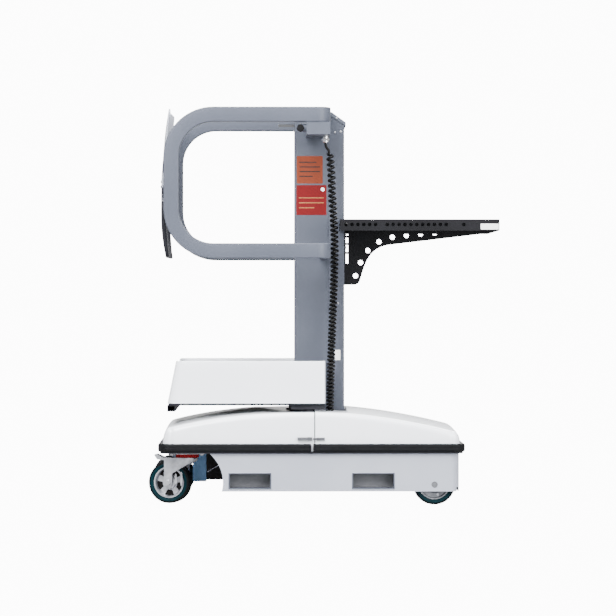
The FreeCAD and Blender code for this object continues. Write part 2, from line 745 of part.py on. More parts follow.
def wheel_profile(rim, web, hub, bore, half):
    """Corners of half a wheel section: rim, thin web and hub."""
    return [(bore, f"-{half}"), (hub, f"-{half}"), (hub, "-5"), (web, "-5"), (web, f"-{half}"),
            (rim, f"-{half}"), (rim, half), (web, half), (web, "5"), (hub, "5"), (hub, half),
            (bore, half)]


def caster_wheel(word, side):
    """Aluminium rim with five windows, turning on the axle bolt."""
    rim = S.wheel_radius - S.tread_depth
    half = S.wheel_width / 2
    points = [Vector(r, 0, z) for r, z in (
        (S.axle_radius + S.running_fit, -half), (25, -half), (25, -8), (50, -8), (51, -half),
        (rim, -half), (rim, half), (51, half), (50, 8), (25, 8), (25, half),
        (S.axle_radius + S.running_fit, half))]
    face = Part.Face(Part.makePolygon(points + points[:1]))
    wheel = face.revolve(Vector(), Vector(0, 0, 1), 360)
    for i in range(5):
        wheel = wheel.cut(rim_window(i * 72 + 56, 29, 48, 34))
    item = feature(f"caster_wheel_{word}_rim", wheel)
    item.Placement = caster_place(side).multiply(wheel_place())
    return node(f"caster_wheel_{word}", item)


def rim_window(middle, low, high, spread):
    """A tapered window through the web, between two radii."""
    corners = []
    for radius, part in ((low, -1), (high, -1), (high, 1), (low, 1)):
        angle = math.radians(middle + part * spread / 2)
        corners.append(Vector(radius * math.cos(angle), radius * math.sin(angle), -20))
    arc = math.radians(middle)
    outer = Part.Arc(corners[1], Vector(high * math.cos(arc), high * math.sin(arc), -20),
                     corners[2]).toShape()
    edges = [Part.makeLine(corners[0], corners[1]), outer,
             Part.makeLine(corners[2], corners[3]), Part.makeLine(corners[3], corners[0])]
    return Part.Face(Part.Wire(edges)).extrude(Vector(0, 0, 40))


def caster_tyre(word, side):
    """Polyurethane tread bonded on the rim."""
    half = "wheel_width / 2"
    tread = "wheel_radius - 3"
    points = [("wheel_radius - tread_depth", f"-{half}"), (tread, f"-{half}"),
              ("wheel_radius", f"-{half} + 5"), ("wheel_radius", f"{half} - 5"),
              (tread, half), ("wheel_radius - tread_depth", half)]
    body = turned(f"caster_tyre_{word}_tread", points, "y", ("0", "0", "0"))
    for axis in "xyz":
        body.setExpression(f"Placement.Base.{axis}", None)
    body.Placement = caster_place(side).multiply(wheel_place())
    return node(f"caster_tyre_{word}", body)


def brake_pedal(word, side):
    """Stamped total-lock pedal on the trailing end of the fork."""
    top = S.deck_bottom - S.caster_plate - S.caster_seal - 1
    reach = S.caster_trail + 17
    outline = [Vector(-reach, 0, top - 10), Vector(-reach, 0, top - 2),
               Vector(-reach - 14, 0, top + 3), Vector(-reach - 38, 0, top + 13),
               Vector(-reach - 41, 0, top + 9), Vector(-reach - 30, 0, top - 8)]
    face = Part.Face(Part.makePolygon(outline + outline[:1]))
    pedal = face.extrude(LEFT * 44).translated(LEFT * -22)
    hole = Part.makeCylinder(4, 60, Vector(-reach - 22, 0, top - 30))
    item = feature(f"brake_pedal_{word}_stamping", pedal.cut(hole))
    item.Placement = caster_place(side)
    return node(f"brake_pedal_{word}", item)


def drive_wheel(word, side):
    """Drive wheel: cast hub and bonded tread."""
    half = "wheel_width / 2"
    rim = "wheel_radius - tread_depth"
    middle = ("drive_x", f"{side} * drive_y", "wheel_radius")
    hub = turned(f"drive_hub_{word}", wheel_profile(rim, "46", "24", "axle_radius + running_fit",
                                                    half), "y", middle)
    tread = turned(f"drive_tread_{word}", [(rim, f"-{half}"), ("wheel_radius", f"-{half}"),
                                           ("wheel_radius", half), (rim, half)], "y", middle)
    return node(f"drive_wheel_{word}", group(f"drive_wheel_{word}_pair", hub, tread))


# ------------------------------------------------------------ moving mast


def mast_stage(name, depth, top):
    """A moving mast section, resting just over the foot plate."""
    low = f"{cylinder_rest()} + stage_rest"
    return node(name, mast_tube(name + "_section", depth, low, top))


def mast_shell():
    """Outer moving section: a box profile with a sloping top."""
    left, right = "mast_x - mast_half_x", "mast_x + mast_half_x"
    top = "lid_top - lid_gauge"
    outer = block("shell_outer", (left, right), ("-mast_half_y", "mast_half_y"),
                  ("shell_bottom", top))
    inner = block("shell_inner", (f"{left} + mast_gauge", f"{right} - mast_gauge"),
                  ("-mast_half_y + mast_gauge", "mast_half_y - mast_gauge"),
                  ("shell_bottom - 1", f"{top} + 1"))
    return node("mast_shell", less("shell_profile", outer, inner))


def front_cover_outline(inset):
    """Side view of the front cover, under the sloping lid."""
    left = "mast_x + mast_half_x"
    top = "lid_top - lid_gauge"
    slope = "lid_fall / (shell_front - lid_slope_x)"
    bend = "lid_slope_x"
    return [(left, "shell_bottom"), (f"shell_front - {inset}", "shell_bottom"),
            (f"shell_front - {inset}", f"{top} - {slope} * (shell_front - {inset} - {bend})"),
            (bend, top), (left, top)]


def mast_front_cover():
    """Channel-shaped cover on the front of the moving section."""
    outer = prism("cover_outer", "XZ_Plane", front_cover_outline(0),
                  ("-mast_half_y + 3", "mast_half_y - 3"))
    inner = block("cover_inner", ("mast_x + mast_half_x - 1", "shell_front - 4"),
                  ("-mast_half_y + 7", "mast_half_y - 7"), ("shell_bottom - 1", "lid_top"))
    return node("mast_front_cover", less("cover_channel", outer, inner))


def mast_lid():
    """Cap over the mast with a sloping nose."""
    left = "mast_x - mast_half_x - 2"
    low = "lid_top - lid_gauge"
    nose = "shell_front + 6"
    fall = "lid_fall / (shell_front - lid_slope_x)"
    points = [(left, low), ("lid_slope_x", low), (nose, f"{low} - {fall} * ({nose} - lid_slope_x)"),
              (nose, f"lid_top - {fall} * ({nose} - lid_slope_x) - 4"), ("lid_slope_x", "lid_top"),
              (left, "lid_top")]
    return node("mast_lid", prism("lid_cap", "XZ_Plane", points, ("-mast_half_y",
                                                                 "mast_half_y")))


def rail_face(middle, along, inset):
    """The rail section square to a run in X or Y, with an inset for the bore."""
    across = Vector(1, 0, 0) if abs(along.y) > 0.5 else LEFT
    return section_face(middle, along, across, S.rail_depth / 2 - inset,
                        S.rail_tube / 2 - inset, 0)


def guard_rail():
    """D-shaped rail of one side, from the mast out, round the entry end and back."""
    half = S.rail_tube / 2
    high, low = S.rail_top - half, S.rail_bottom + half
    y = -S.rail_half + S.rail_depth / 2
    x = S.rail_front - S.rail_depth / 2
    end = S.rail_rear + half
    root = -S.mast_half_y
    points = [Vector(x, root, high), Vector(x, y, high), Vector(end, y, high),
              Vector(end, y, low), Vector(x, y, low), Vector(x, root, low)]
    bends = [S.elbow_radius, S.rail_corner, S.rail_corner, S.elbow_radius]
    solids = [bent_tube(points, bends, rail_face(points[0], points[1] - points[0], inset))
              for inset in (0, S.rail_gauge)]
    return feature("rail_tube", solids[0].cut(solids[1]))


def guard_rails():
    """The rail of each side in a node of its own."""
    right = guard_rail()
    node("guard_rail_left", mirrored("rail_mirror", right))
    return node("guard_rail_right", right)


def rail_brackets():
    """Box brackets from the mast to the upper rails, each with a hand knob."""
    low, high = "rail_top - rail_tube - 48", "rail_top - rail_tube"
    beam = block("bracket_beam", ("-65", "rail_front - 2"), ("-rail_half + 4", "-mast_half_y"),
                 (low, high))
    knob = rod("bracket_knob", "x", "15", ("-96", "-65"), ("-rail_half + 24", f"{low} + 26"))
    return node("rail_brackets", both_sides("bracket_pair", joined("bracket", beam, knob)))


def platform_floor():
    """Floor plate on its steel frame, carried by the mast, with the step tube."""
    low = "floor_top - floor_gauge"
    mast_back = "mast_x - mast_half_x"
    inside = "skirt_half - skirt_gauge - 1"
    plate = feature("floor_plate", skirt_solid(S.skirt_gauge + 0.5, S.floor_top - S.floor_gauge,
                                               S.floor_top))
    frame = block("floor_frame_sheet", ("skirt_rear + 4", "skirt_front - 4"),
                  (f"-({inside} + 2)", f"{inside} + 2"), (f"{low} - floor_frame", low))
    notch = block("floor_notch", (mast_back, "shell_front + 10"),
                  ("-mast_half_y - 1", "mast_half_y + 1"), (f"{low} - 50", "floor_top + 50"))
    tube = block("step_tube", ("skirt_rear", "skirt_rear + 30"), (f"-({inside})", inside),
                 (f"{low} - 30", f"{low} - floor_frame"))
    bore = block("step_tube_bore", ("skirt_rear + 3", "skirt_rear + 27"),
                 (f"-({inside}) - 1", f"{inside} + 1"), (f"{low} - 27", f"{low} - 10"))
    hanger = block("mast_hanger", (f"{mast_back} - 16", mast_back), ("-mast_half_y", "mast_half_y"),
                   (f"{low} - 60", low))
    deck = less("floor_cut", joined("floor_parts", plate, frame, tube), notch, bore)
    return node("platform_floor", joined("floor_weldment", deck, hanger))


def skirt_solid(inset, low, high):
    """The platform's moulded side as a solid: upright sides, leaning entry end."""
    wires = []
    height = S.skirt_top - (S.floor_top - S.floor_gauge)
    for z in (low, high):
        part = (z - (S.floor_top - S.floor_gauge)) / height
        wires.append(rounded_wire(S.skirt_rear + S.skirt_lean * part + inset,
                                  S.skirt_front - inset, S.skirt_half - 8 * part - inset,
                                  z, 40 - inset, 12 - inset))
    return Part.makeLoft(wires, True, True)


def platform_skirt():
    """Moulded skirt and toe boards, cut out at the entry and round the mast."""
    low = S.floor_top - S.floor_gauge
    outer = skirt_solid(0, low, S.skirt_top)
    inner = skirt_solid(S.skirt_gauge, low - 20, S.skirt_top + 20)
    clear = 1
    notch = Part.makeBox(400, 2 * (S.mast_half_y + clear), 400,
                         Vector(S.mast_x - S.mast_half_x - clear, -S.mast_half_y - clear,
                                low - 50))
    entry = Part.makeBox(200, 2 * S.entry_half, 400,
                         Vector(S.skirt_rear - 100, -S.entry_half, S.floor_top + S.mat_gauge))
    return node("platform_skirt", feature("skirt_moulding", outer.cut(inner).cut(notch).cut(entry)))


def floor_mat():
    """Ribbed rubber mat on the floor."""
    inside = "skirt_half - skirt_gauge - 12"
    mat = block("mat_sheet", ("skirt_rear + 40", "mast_x - mast_half_x - 4"),
                (f"-({inside})", inside), ("floor_top", "floor_top + mat_gauge"))
    return node("floor_mat", mat)


def gate_leaf():
    """A saloon leaf: a bowed panel on two knuckles."""
    middle = (S.gate_top + S.gate_bottom) / 2 + S.gate_belly
    arcs = []
    for offset in (0, S.gate_gauge):
        arcs.append([Vector(S.gate_x - S.gate_lean + offset, 0, S.gate_bottom),
                     Vector(S.gate_x - S.gate_bow - S.gate_nose + offset, 0, middle),
                     Vector(S.gate_x - S.gate_lean + offset, 0, S.gate_top)])
    outer = Part.Arc(*arcs[0]).toShape()
    inner = Part.Arc(*arcs[1]).toShape()
    edges = [outer, Part.makeLine(arcs[0][2], arcs[1][2]), inner,
             Part.makeLine(arcs[1][0], arcs[0][0])]
    width = S.gate_half - S.gate_inset - S.gate_gap
    face = Part.Face(Part.Wire(Part.__sortEdges__(edges)))
    panel = face.extrude(LEFT * -width).translated(LEFT * -S.gate_gap)
    pieces = [panel]
    for z in gate_hinge_heights():
        knuckle = Part.makeCylinder(11, 40, Vector(S.gate_x, -S.gate_half, z))
        ear = Part.makeBox(S.gate_bow, 22, 40,
                           Vector(S.gate_x - S.gate_bow, -S.gate_half + 0.5, z))
        pieces += [knuckle, ear]
    leaf = pieces[0].multiFuse(pieces[1:])
    for z in gate_hinge_heights():
        leaf = leaf.cut(Part.makeCylinder(5 + S.running_fit, 60,
                                          Vector(S.gate_x, -S.gate_half, z - 10)))
    return feature("gate_panel", leaf)


def gate_hinge_heights():
    """Lower ends of the two knuckles of a leaf."""
    return (S.gate_bottom + 225, S.gate_top - 245)


def gates():
    """The two leaves of the entry gate."""
    right = gate_leaf()
    node("gate_left", mirrored("gate_mirror", right))
    return node("gate_right", right)


def gate_hinges():
    """Pins and brackets that carry the leaves on the rails."""
    pieces = []
    face = S.rail_half - S.rail_depth
    for z in gate_hinge_heights():
        for low in (z - 8.3, z + 40.3):
            arm = Part.makeBox(30, face - S.gate_half + 12, 8,
                               Vector(S.gate_x - 10, -face, low))
            pieces.append(arm)
        pieces.append(Part.makeCylinder(5, 56.6, Vector(S.gate_x, -S.gate_half, z - 8.3)))
    item = feature("gate_pins", Part.makeCompound([
        pieces[0].multiFuse(pieces[1:3]), pieces[3].multiFuse(pieces[4:])]))
    return node("gate_hinges", both_sides("gate_hinge_set", item))


def cable_gland():
    """Chromed gland screwed into the underside of the right rail bracket."""
    spot = ("gland_x", "cable_y")
    nut = rod("gland_nut", "z", "14.6", ("gland_bottom + 8", "rail_top - rail_tube - 48"), spot)
    cone = rod("gland_cone", "z", "10", ("gland_bottom", "gland_bottom + 8"), spot)
    return node("cable_gland", joined("gland", nut, cone))


def cable_route():
    """Corners of the curly cable's line, from the gland to the socket."""
    y = S.cable_y
    foot = cable_foot_x()
    socket = S.deck_bottom + S.deck_gauge + 24
    return [Vector(S.gland_x, y, S.gland_bottom), Vector(S.gland_x, y, 1358),
            Vector(28, y, 1336), Vector(36, y, 1150), Vector(46, y, 990),
            Vector(39, y, 760), Vector(29, y, 520), Vector(foot, y, 290), Vector(foot, y, socket)]


def curly_cable():
    """Curly cable: one fat tube of the coil's outer size between two plain leads."""
    route = cable_route()
    wire, coil = S.cable_wire / 2, S.cable_coil / 2
    bends = []
    for i in range(1, len(route) - 1):
        before, after = route[i] - route[i - 1], route[i + 1] - route[i]
        half_turn = before.getAngle(after) / 2
        bends.append(0.45 * min(before.Length, after.Length) / math.tan(half_turn))
    print("cable radii", [round(radius) for radius in bends])
    lead = bent_tube(route[:3], bends[:1], section_face(
        route[0], route[1] - route[0], LEFT, 0, 0, wire))
    start, end = route[2], route[-2]
    tube = bent_tube(route[2:-1], bends[2:-1], section_face(
        start, route[3] - start, LEFT, 0, 0, coil))
    tail = bent_tube(route[-2:], [], section_face(end, route[-1] - end, LEFT, 0, 0, wire))
    length = sum((b - a).Length for a, b in zip(route[2:-1], route[3:-1]))
    print("coil volume ratio", round(tube.Volume / (math.pi * coil ** 2 * length), 4))
    return node("curly_cable", feature("cable_tube", tube.multiFuse([lead, tail])))


def control_box():
    """Console behind the upper rails on the rear face of the mast."""
    face = "mast_x - mast_half_x"
    case = block("console_case", (f"{face} - 62", face), ("-92", "92"),
                 ("console_top - 26", "console_top"))
    collar = rod("stick_collar", "z", "17", ("console_top", "console_top + 4"),
                 (f"{face} - 32", "-45"))
    bore = rod("stick_bore", "z", "12", ("console_top - 17.3", "console_top + 9"),
               (f"{face} - 32", "-45"))
    well = rod("button_well", "z", "8.5", ("console_top - 14", "console_top + 9"),
               (f"{face} - 32", "45"))
    return node("control_box", less("console", joined("console_solid", case, collar), bore, well))


def joystick():
    """Short travel and lift stick with a ball pivot in the console."""
    spot = ("mast_x - mast_half_x - 32", "-45")
    stem = rod("stick_stem", "z", "4", ("console_top - 8", "console_top + 14"), spot)
    cap = rod("stick_cap", "z", "11", ("console_top + 10", "console_top + 22"), spot)
    ball = DOC.addObject("Part::Sphere", "stick_ball")
    bind(ball, Radius="7", x=spot[0], y=spot[1], z="console_top - 10")
    return node("joystick", joined("stick", stem, cap, ball))


def stop_button():
    """Emergency stop: a mushroom head on its stem."""
    spot = ("mast_x - mast_half_x - 32", "45")
    stem = rod("stop_stem", "z", "8", ("console_top - 8", "console_top + 10"), spot)
    head = rod("stop_head", "z", "17", ("console_top + 6", "console_top + 20"), spot)
    return node("stop_button", joined("stop", stem, head))


# --------------------------------------------------------------- load tray


def load_tray():
    """Folded tray: loading face, sides with holes, recess for the mast."""
    shell = Part.makeBox(S.tray_front - S.tray_rear, 2 * S.tray_half, S.tray_side,
                         Vector(S.tray_rear, -S.tray_half, S.tray_top - S.tray_side))
    gauge = S.tray_gauge
    inner = Part.makeBox(S.tray_front - S.tray_rear - 2 * gauge, 2 * (S.tray_half - gauge),
                         S.tray_side, Vector(S.tray_rear + gauge, gauge - S.tray_half,
                                             S.tray_top - S.tray_side - gauge))
    tray = shell.cut(inner)
    notch = Part.makeBox(S.shell_front + 4 - S.tray_rear + 10, 2 * (S.mast_half_y + 3), 200,
                         Vector(S.tray_rear - 10, -S.mast_half_y - 3, S.tray_top - 100))
    tray = tray.cut(notch)
    holes = []
    for i in range(21):
        if i in (6, 18, 19):
            continue
        x = S.tray_rear + 21 + i * S.tray_hole_pitch
        holes.append(Part.makeCylinder(S.tray_hole / 2, 4 * S.tray_half,
                                       Vector(x, -2 * S.tray_half, S.tray_top - 20), LEFT))
    return node("load_tray", feature("tray_sheet", tray.cut(holes)))


def arm_holes():
    """Middles of the lightening holes: evenly spaced along the arm's bent spine."""
    x, z = S.shell_front + 46.6, S.arm_foot + 35
    spots = [(x, z)]
    for heading in (69, 59, 38, 19, 7, 6, 4):
        x += S.arm_pitch * math.cos(math.radians(heading))
        z += S.arm_pitch * math.sin(math.radians(heading))
        spots.append((x, z))
    return spots


def arm_outline():
    """Side view of an arm: rounded foot, swept throat and a straight taper to the tip."""
    back, foot, front = S.shell_front + S.tray_slip, S.arm_foot, S.tray_front - 13
    top = S.tray_top - S.tray_gauge
    throat = [Vector(back + dx, 0, foot + dz) for dx, dz in
              ((64, 20), (78, 65), (91, 96), (122, 134), (145, 147), (182, 156))]
    sweep = Part.BSplineCurve()
    sweep.interpolate(throat)
    corners = [throat[-1], Vector(front, 0, S.tray_top - S.tray_side - 2), Vector(front, 0, top),
               Vector(back + 18, 0, top), Vector(back + 18, 0, foot + 83),
               Vector(back, 0, foot + 83), Vector(back, 0, foot), Vector(back + 39, 0, foot)]
    edges = [Part.makeLine(a, b) for a, b in zip(corners, corners[1:])]
    edges.append(Part.Arc(corners[-1], Vector(back + 56, 0, foot + 6), throat[0]).toShape())
    edges.append(sweep.toShape())
    return Part.Face(Part.Wire(edges))


def tray_arms():
    """Two sheet arms on a plate that climbs the front of the mast."""
    top = S.tray_top - S.tray_gauge
    back = S.shell_front + S.tray_slip
    arm = arm_outline().extrude(LEFT * S.arm_gauge).translated(LEFT * -S.arm_y)
    for x, z in arm_holes():
        arm = arm.cut(Part.makeCylinder(S.arm_hole / 2, 20, Vector(x, -S.arm_y - 5, z), LEFT))
    hooks = [Part.makeBox(22, S.arm_gauge, 8, Vector(back, -S.arm_y, S.arm_foot + rise))
             for rise in (120, 155, 183)]
    arm = arm.multiFuse(hooks)
    other = arm.mirror(Vector(), LEFT)
    plate = Part.makeBox(S.carriage_front - back, 2 * S.arm_plate_half, top - S.arm_foot,
                         Vector(back, -S.arm_plate_half, S.arm_foot))
    return node("tray_arms", feature("tray_carriage", plate.multiFuse([arm, other])))


def tray_plate():
    """Blank rating plate on the side of the tray."""
    plate = block("rating_plate", ("595", "tray_front - 3"), ("-tray_half - 1", "-tray_half"),
                  ("tray_top - 39", "tray_top - 17"))
    return node("tray_plate", plate)


# ----------------------------------------------------------------- latches


def latches():
    """Draw latch levers across the joint of the hoods."""
    face = "-(bumper_half - bumper_depth - hood_fit)"
    right = block("latch_lever", ("-100", "-44.5"), (f"{face} - 11", f"{face} - 3.3"),
                  ("244", "256"))
    node("latch_left", mirrored("latch_mirror", right))
    return node("latch_right", right)


# -------------------------------------------------------------------- build


def build():
    """Make every node of the lift."""
    fill_sheet()
    base_frame()
    fork_pockets()
    deck_plate()
    bumper("bumper_rear", True)
    bumper("bumper_front", False)
    hood("hood_rear", True)
    hood("hood_front", False)
    battery_box()
    arch_liner()
    batteries()
    charger()
    hydraulic_unit()
    drive_controller()
    drive_units()
    axle_plugs()
    caster_plates()
    caster_bolts()
    caster_seals()
    mast_column()
    lift_cylinder()
    cable_socket()
    latch_keepers()
    for word, side in (("right", -1), ("left", 1)):
        caster_fork(word, side)
        caster_wheel(word, side)
        caster_tyre(word, side)
        brake_pedal(word, side)
        drive_wheel(word, side)
    mast_stage("mast_stage_1", 2, "column_top + 10")
    mast_stage("mast_stage_2", 3, "column_top + 20")
    mast_stage("mast_inner", 4, "lid_top - lid_gauge")
    plunger("plunger_1", 1, "column_top - 40")
    plunger("plunger_2", 2, "column_top - 20")
    plunger("plunger_3", 3, "lid_top - lid_gauge")
    mast_shell()
    mast_front_cover()
    mast_lid()
    guard_rails()
    rail_brackets()
    platform_floor()
    platform_skirt()
    floor_mat()
    gates()
    gate_hinges()
    cable_gland()
    curly_cable()
    control_box()
    joystick()
    stop_button()
    load_tray()
    tray_arms()
    tray_plate()
    latches()
    DOC.recompute()


def check_and_write():
    """Refuse a failed object or a bad shape, then write one file for each node."""
    for item in DOC.Objects:
        if "Invalid" in item.State or "Error" in item.State:
            raise RuntimeError(f"{item.Label} is {item.State}")
    for name, item in NODES.items():
        shape = item.Shape
        if shape.isNull() or not shape.isValid() or not shape.Solids:
            raise RuntimeError(f"{name} has no valid shape")
    os.makedirs("parts", exist_ok=True)
    for name, item in NODES.items():
        item.Shape.exportStep(f"parts/{name}.step")
    print(len(NODES), "nodes")


build()
check_and_write()
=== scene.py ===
import json
import math

import bmesh
import bpy
import numpy as np
from bpy.props import FloatProperty, FloatVectorProperty, IntProperty, PointerProperty
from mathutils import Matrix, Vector


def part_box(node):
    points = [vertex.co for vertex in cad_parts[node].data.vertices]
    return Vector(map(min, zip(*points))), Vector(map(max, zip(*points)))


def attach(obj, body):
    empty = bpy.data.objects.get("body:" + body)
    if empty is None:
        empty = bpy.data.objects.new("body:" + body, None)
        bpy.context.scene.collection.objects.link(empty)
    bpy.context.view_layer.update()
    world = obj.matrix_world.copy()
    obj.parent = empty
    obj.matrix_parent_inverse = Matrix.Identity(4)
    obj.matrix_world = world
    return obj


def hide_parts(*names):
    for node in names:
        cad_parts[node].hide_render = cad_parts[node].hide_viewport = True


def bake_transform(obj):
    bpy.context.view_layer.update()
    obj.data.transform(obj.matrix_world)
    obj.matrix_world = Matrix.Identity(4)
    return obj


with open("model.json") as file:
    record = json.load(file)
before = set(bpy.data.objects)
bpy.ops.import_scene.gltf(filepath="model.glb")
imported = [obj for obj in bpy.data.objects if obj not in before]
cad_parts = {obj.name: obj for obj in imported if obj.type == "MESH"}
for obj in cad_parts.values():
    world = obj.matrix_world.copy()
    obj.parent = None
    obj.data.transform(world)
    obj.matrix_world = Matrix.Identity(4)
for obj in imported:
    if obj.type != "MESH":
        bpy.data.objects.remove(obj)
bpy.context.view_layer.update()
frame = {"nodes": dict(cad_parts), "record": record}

bl_info = {
    "name": "Mast Personnel Lift",
    "version": (1, 0, 0),
    "blender": (4, 5, 0),
    "location": "View3D > Sidebar > Lift",
    "description": "Builds the finished surfaces of a vertical-mast personnel lift round its frame",
    "category": "Add Mesh",
}

MM = 0.001
# Where the cable leaves the deck and enters the gland, the mast's half width, and the
# place of the casters' swivel axes.
CABLE_FOOT, CABLE_TOP = (0.0245, -0.19, 0.225), (0.009, -0.19, 1.372)
MAST_HALF = 0.110
SWIVEL_X, SWIVEL_Y = -0.517, 0.245
SIDES = ((-1, "right"), (1, "left"))


# ---------------------------------------------------------------- colours


def linear(code):
    """An sRGB hex colour as linear red, green, blue and a full alpha."""
    parts = [int(code[i:i + 2], 16) / 255 for i in (1, 3, 5)]
    return tuple(c / 12.92 if c <= 0.04045 else ((c + 0.055) / 1.055) ** 2.4 for c in parts) + (1,)


def add(tree, kind, links=None, **settings):
    """Add a shader node, set its properties and input values, and link its inputs."""
    made = tree.nodes.new("ShaderNode" + kind)
    for key, setting in settings.items():
        if hasattr(made, key):
            setattr(made, key, setting)
        else:
            made.inputs[key.replace("_", " ")].default_value = setting
    for key, source in (links or {}).items():
        tree.links.new(made.inputs[key], source)
    return made


def finish(name, base, roughness, metallic=0.0, coat=0.0):
    """A material with its shader, object coordinates and output ready to join up."""
    material = bpy.data.materials.new(name)
    material.use_nodes = True
    tree = material.node_tree
    tree.nodes.clear()
    shader = add(tree, "BsdfPrincipled")
    shader.inputs["Base Color"].default_value = linear(base)
    shader.inputs["Roughness"].default_value = roughness
    shader.inputs["Metallic"].default_value = metallic
    shader.inputs["Coat Weight"].default_value = coat
    shader.inputs["Coat Roughness"].default_value = 0.08
    add(tree, "OutputMaterial", {"Surface": shader.outputs[0]})
    where = add(tree, "TexCoord").outputs["Object"]
    return material, tree, shader, where


def speckle(tree, where, per_metre, detail=3.0, stretch=(1, 1, 1)):
    """Noise whose grains are one over per_metre wide, stretched along an axis."""
    placed = add(tree, "Mapping", {"Vector": where}, Scale=stretch).outputs[0]
    return add(tree, "TexNoise", {"Vector": placed}, Scale=per_metre, Detail=detail,
               Roughness=0.55).outputs["Fac"]


def shades(tree, value, low, high, dark, light):
    """Two colours mixed by a value between two limits."""
    ramp = add(tree, "ValToRGB", {"Fac": value})
    ramp.color_ramp.elements[0].position = low
    ramp.color_ramp.elements[1].position = high
    ramp.color_ramp.elements[0].color = linear(dark)
    ramp.color_ramp.elements[1].color = linear(light)
    return ramp.outputs["Color"]


def spread(tree, value, low, high):
    """A value between 0 and 1 moved to lie between two numbers."""
    return add(tree, "MapRange", {"Value": value}, To_Min=low, To_Max=high).outputs["Result"]


def relief(tree, shader, height, depth_mm, strength=0.5):
    """Bump of a real depth in millimetres on the shader."""
    bump = add(tree, "Bump", {"Height": height}, Strength=strength, Distance=depth_mm * MM)
    tree.links.new(shader.inputs["Normal"], bump.outputs["Normal"])


def layered(name, base, colours, roughness, patches, limits, gloss, swing, skin, bump,
            metallic=0.0, coat=0.0):
    """A finish of three noises: patches of colour, patches of gloss and a fine skin."""
    material, tree, shader, where = finish(name, base, roughness, metallic, coat)
    tree.links.new(shader.inputs["Base Color"],
                   shades(tree, speckle(tree, where, *patches), *limits, *colours))
    tree.links.new(shader.inputs["Roughness"],
                   spread(tree, speckle(tree, where, *gloss),
                          roughness + swing[0], roughness + swing[1]))
    relief(tree, shader, speckle(tree, where, *skin), *bump)
    return material


def powder_coat(name, base, dark, roughness, grain_mm=1.2, coat=0.0):
    """Powder-coated steel: even colour with slight clouding and a fine orange peel."""
    return layered(name, base, (dark, base), roughness, (4, 2), (0.3, 0.75), (30, 3),
                   (-0.07, 0.08), (1000 / grain_mm, 2), (0.05, 0.25), coat=coat)


def moulded_gloss(name, base, dark, roughness):
    """Gel-coated moulding: glossy, with long shallow waves and light dust in the lows."""
    return layered(name, base, (dark, base), roughness, (3, 3), (0.25, 0.7), (18, 4),
                   (-0.05, 0.1), (9, 1), (1.2, 0.06), coat=0.6)


def moulded_rubber(name, base, light, roughness):
    """Moulded rubber: matt, with dusty patches and a fine pebble."""
    return layered(name, base, (base, light), roughness, (14, 5), (0.35, 0.8), (60, 3),
                   (-0.1, 0.1), (900, 2), (0.15, 0.35))


def cast_metal(name, base, dark, roughness):
    """Die-cast or plated metal: metallic with mottled brightness and a fine skin."""
    return layered(name, base, (dark, base), roughness, (45, 4), (0.3, 0.72), (120, 3),
                   (-0.1, 0.14), (1250, 2), (0.06, 0.3), metallic=0.9)


def brushed(name, base, dark, roughness, along):
    """Drawn or turned metal: fine lines along one axis, a third of a millimetre apart."""
    material, tree, shader, where = finish(name, base, roughness, metallic=1.0)
    stretch = tuple(0.02 if axis == along else 1.0 for axis in "xyz")
    lines = speckle(tree, where, 3000, 2, stretch)
    tree.links.new(shader.inputs["Base Color"], shades(tree, lines, 0.2, 0.8, dark, base))
    tree.links.new(shader.inputs["Roughness"],
                   spread(tree, lines, roughness - 0.06, roughness + 0.1))
    relief(tree, shader, lines, 0.02, 0.3)
    return material


def tread_urethane(name, base, dark, roughness):
    """Cast polyurethane: satin, slightly streaked, with road dust in the streaks."""
    return layered(name, base, (dark, base), roughness, (40, 5), (0.35, 0.7), (25, 3),
                   (-0.08, 0.15), (500, 2), (0.08, 0.3))


MATERIALS = {}
SHEENS = {"panel": 0.25, "mast": 0.15, "mast_dark": 0.1, "black": 0.08, "blue": 0.2,
          "bumper": 0.08, "mat": 0.1, "red": 0.12, "plastic": 0.08, "grey": 0.2,
          "teal": 0.06, "tread": 0.06, "gate": 0.25, "cable": 0.12, "amber": 0.1,
          "scarlet": 0.1, "pale": 0.1, "ink": 0.1}


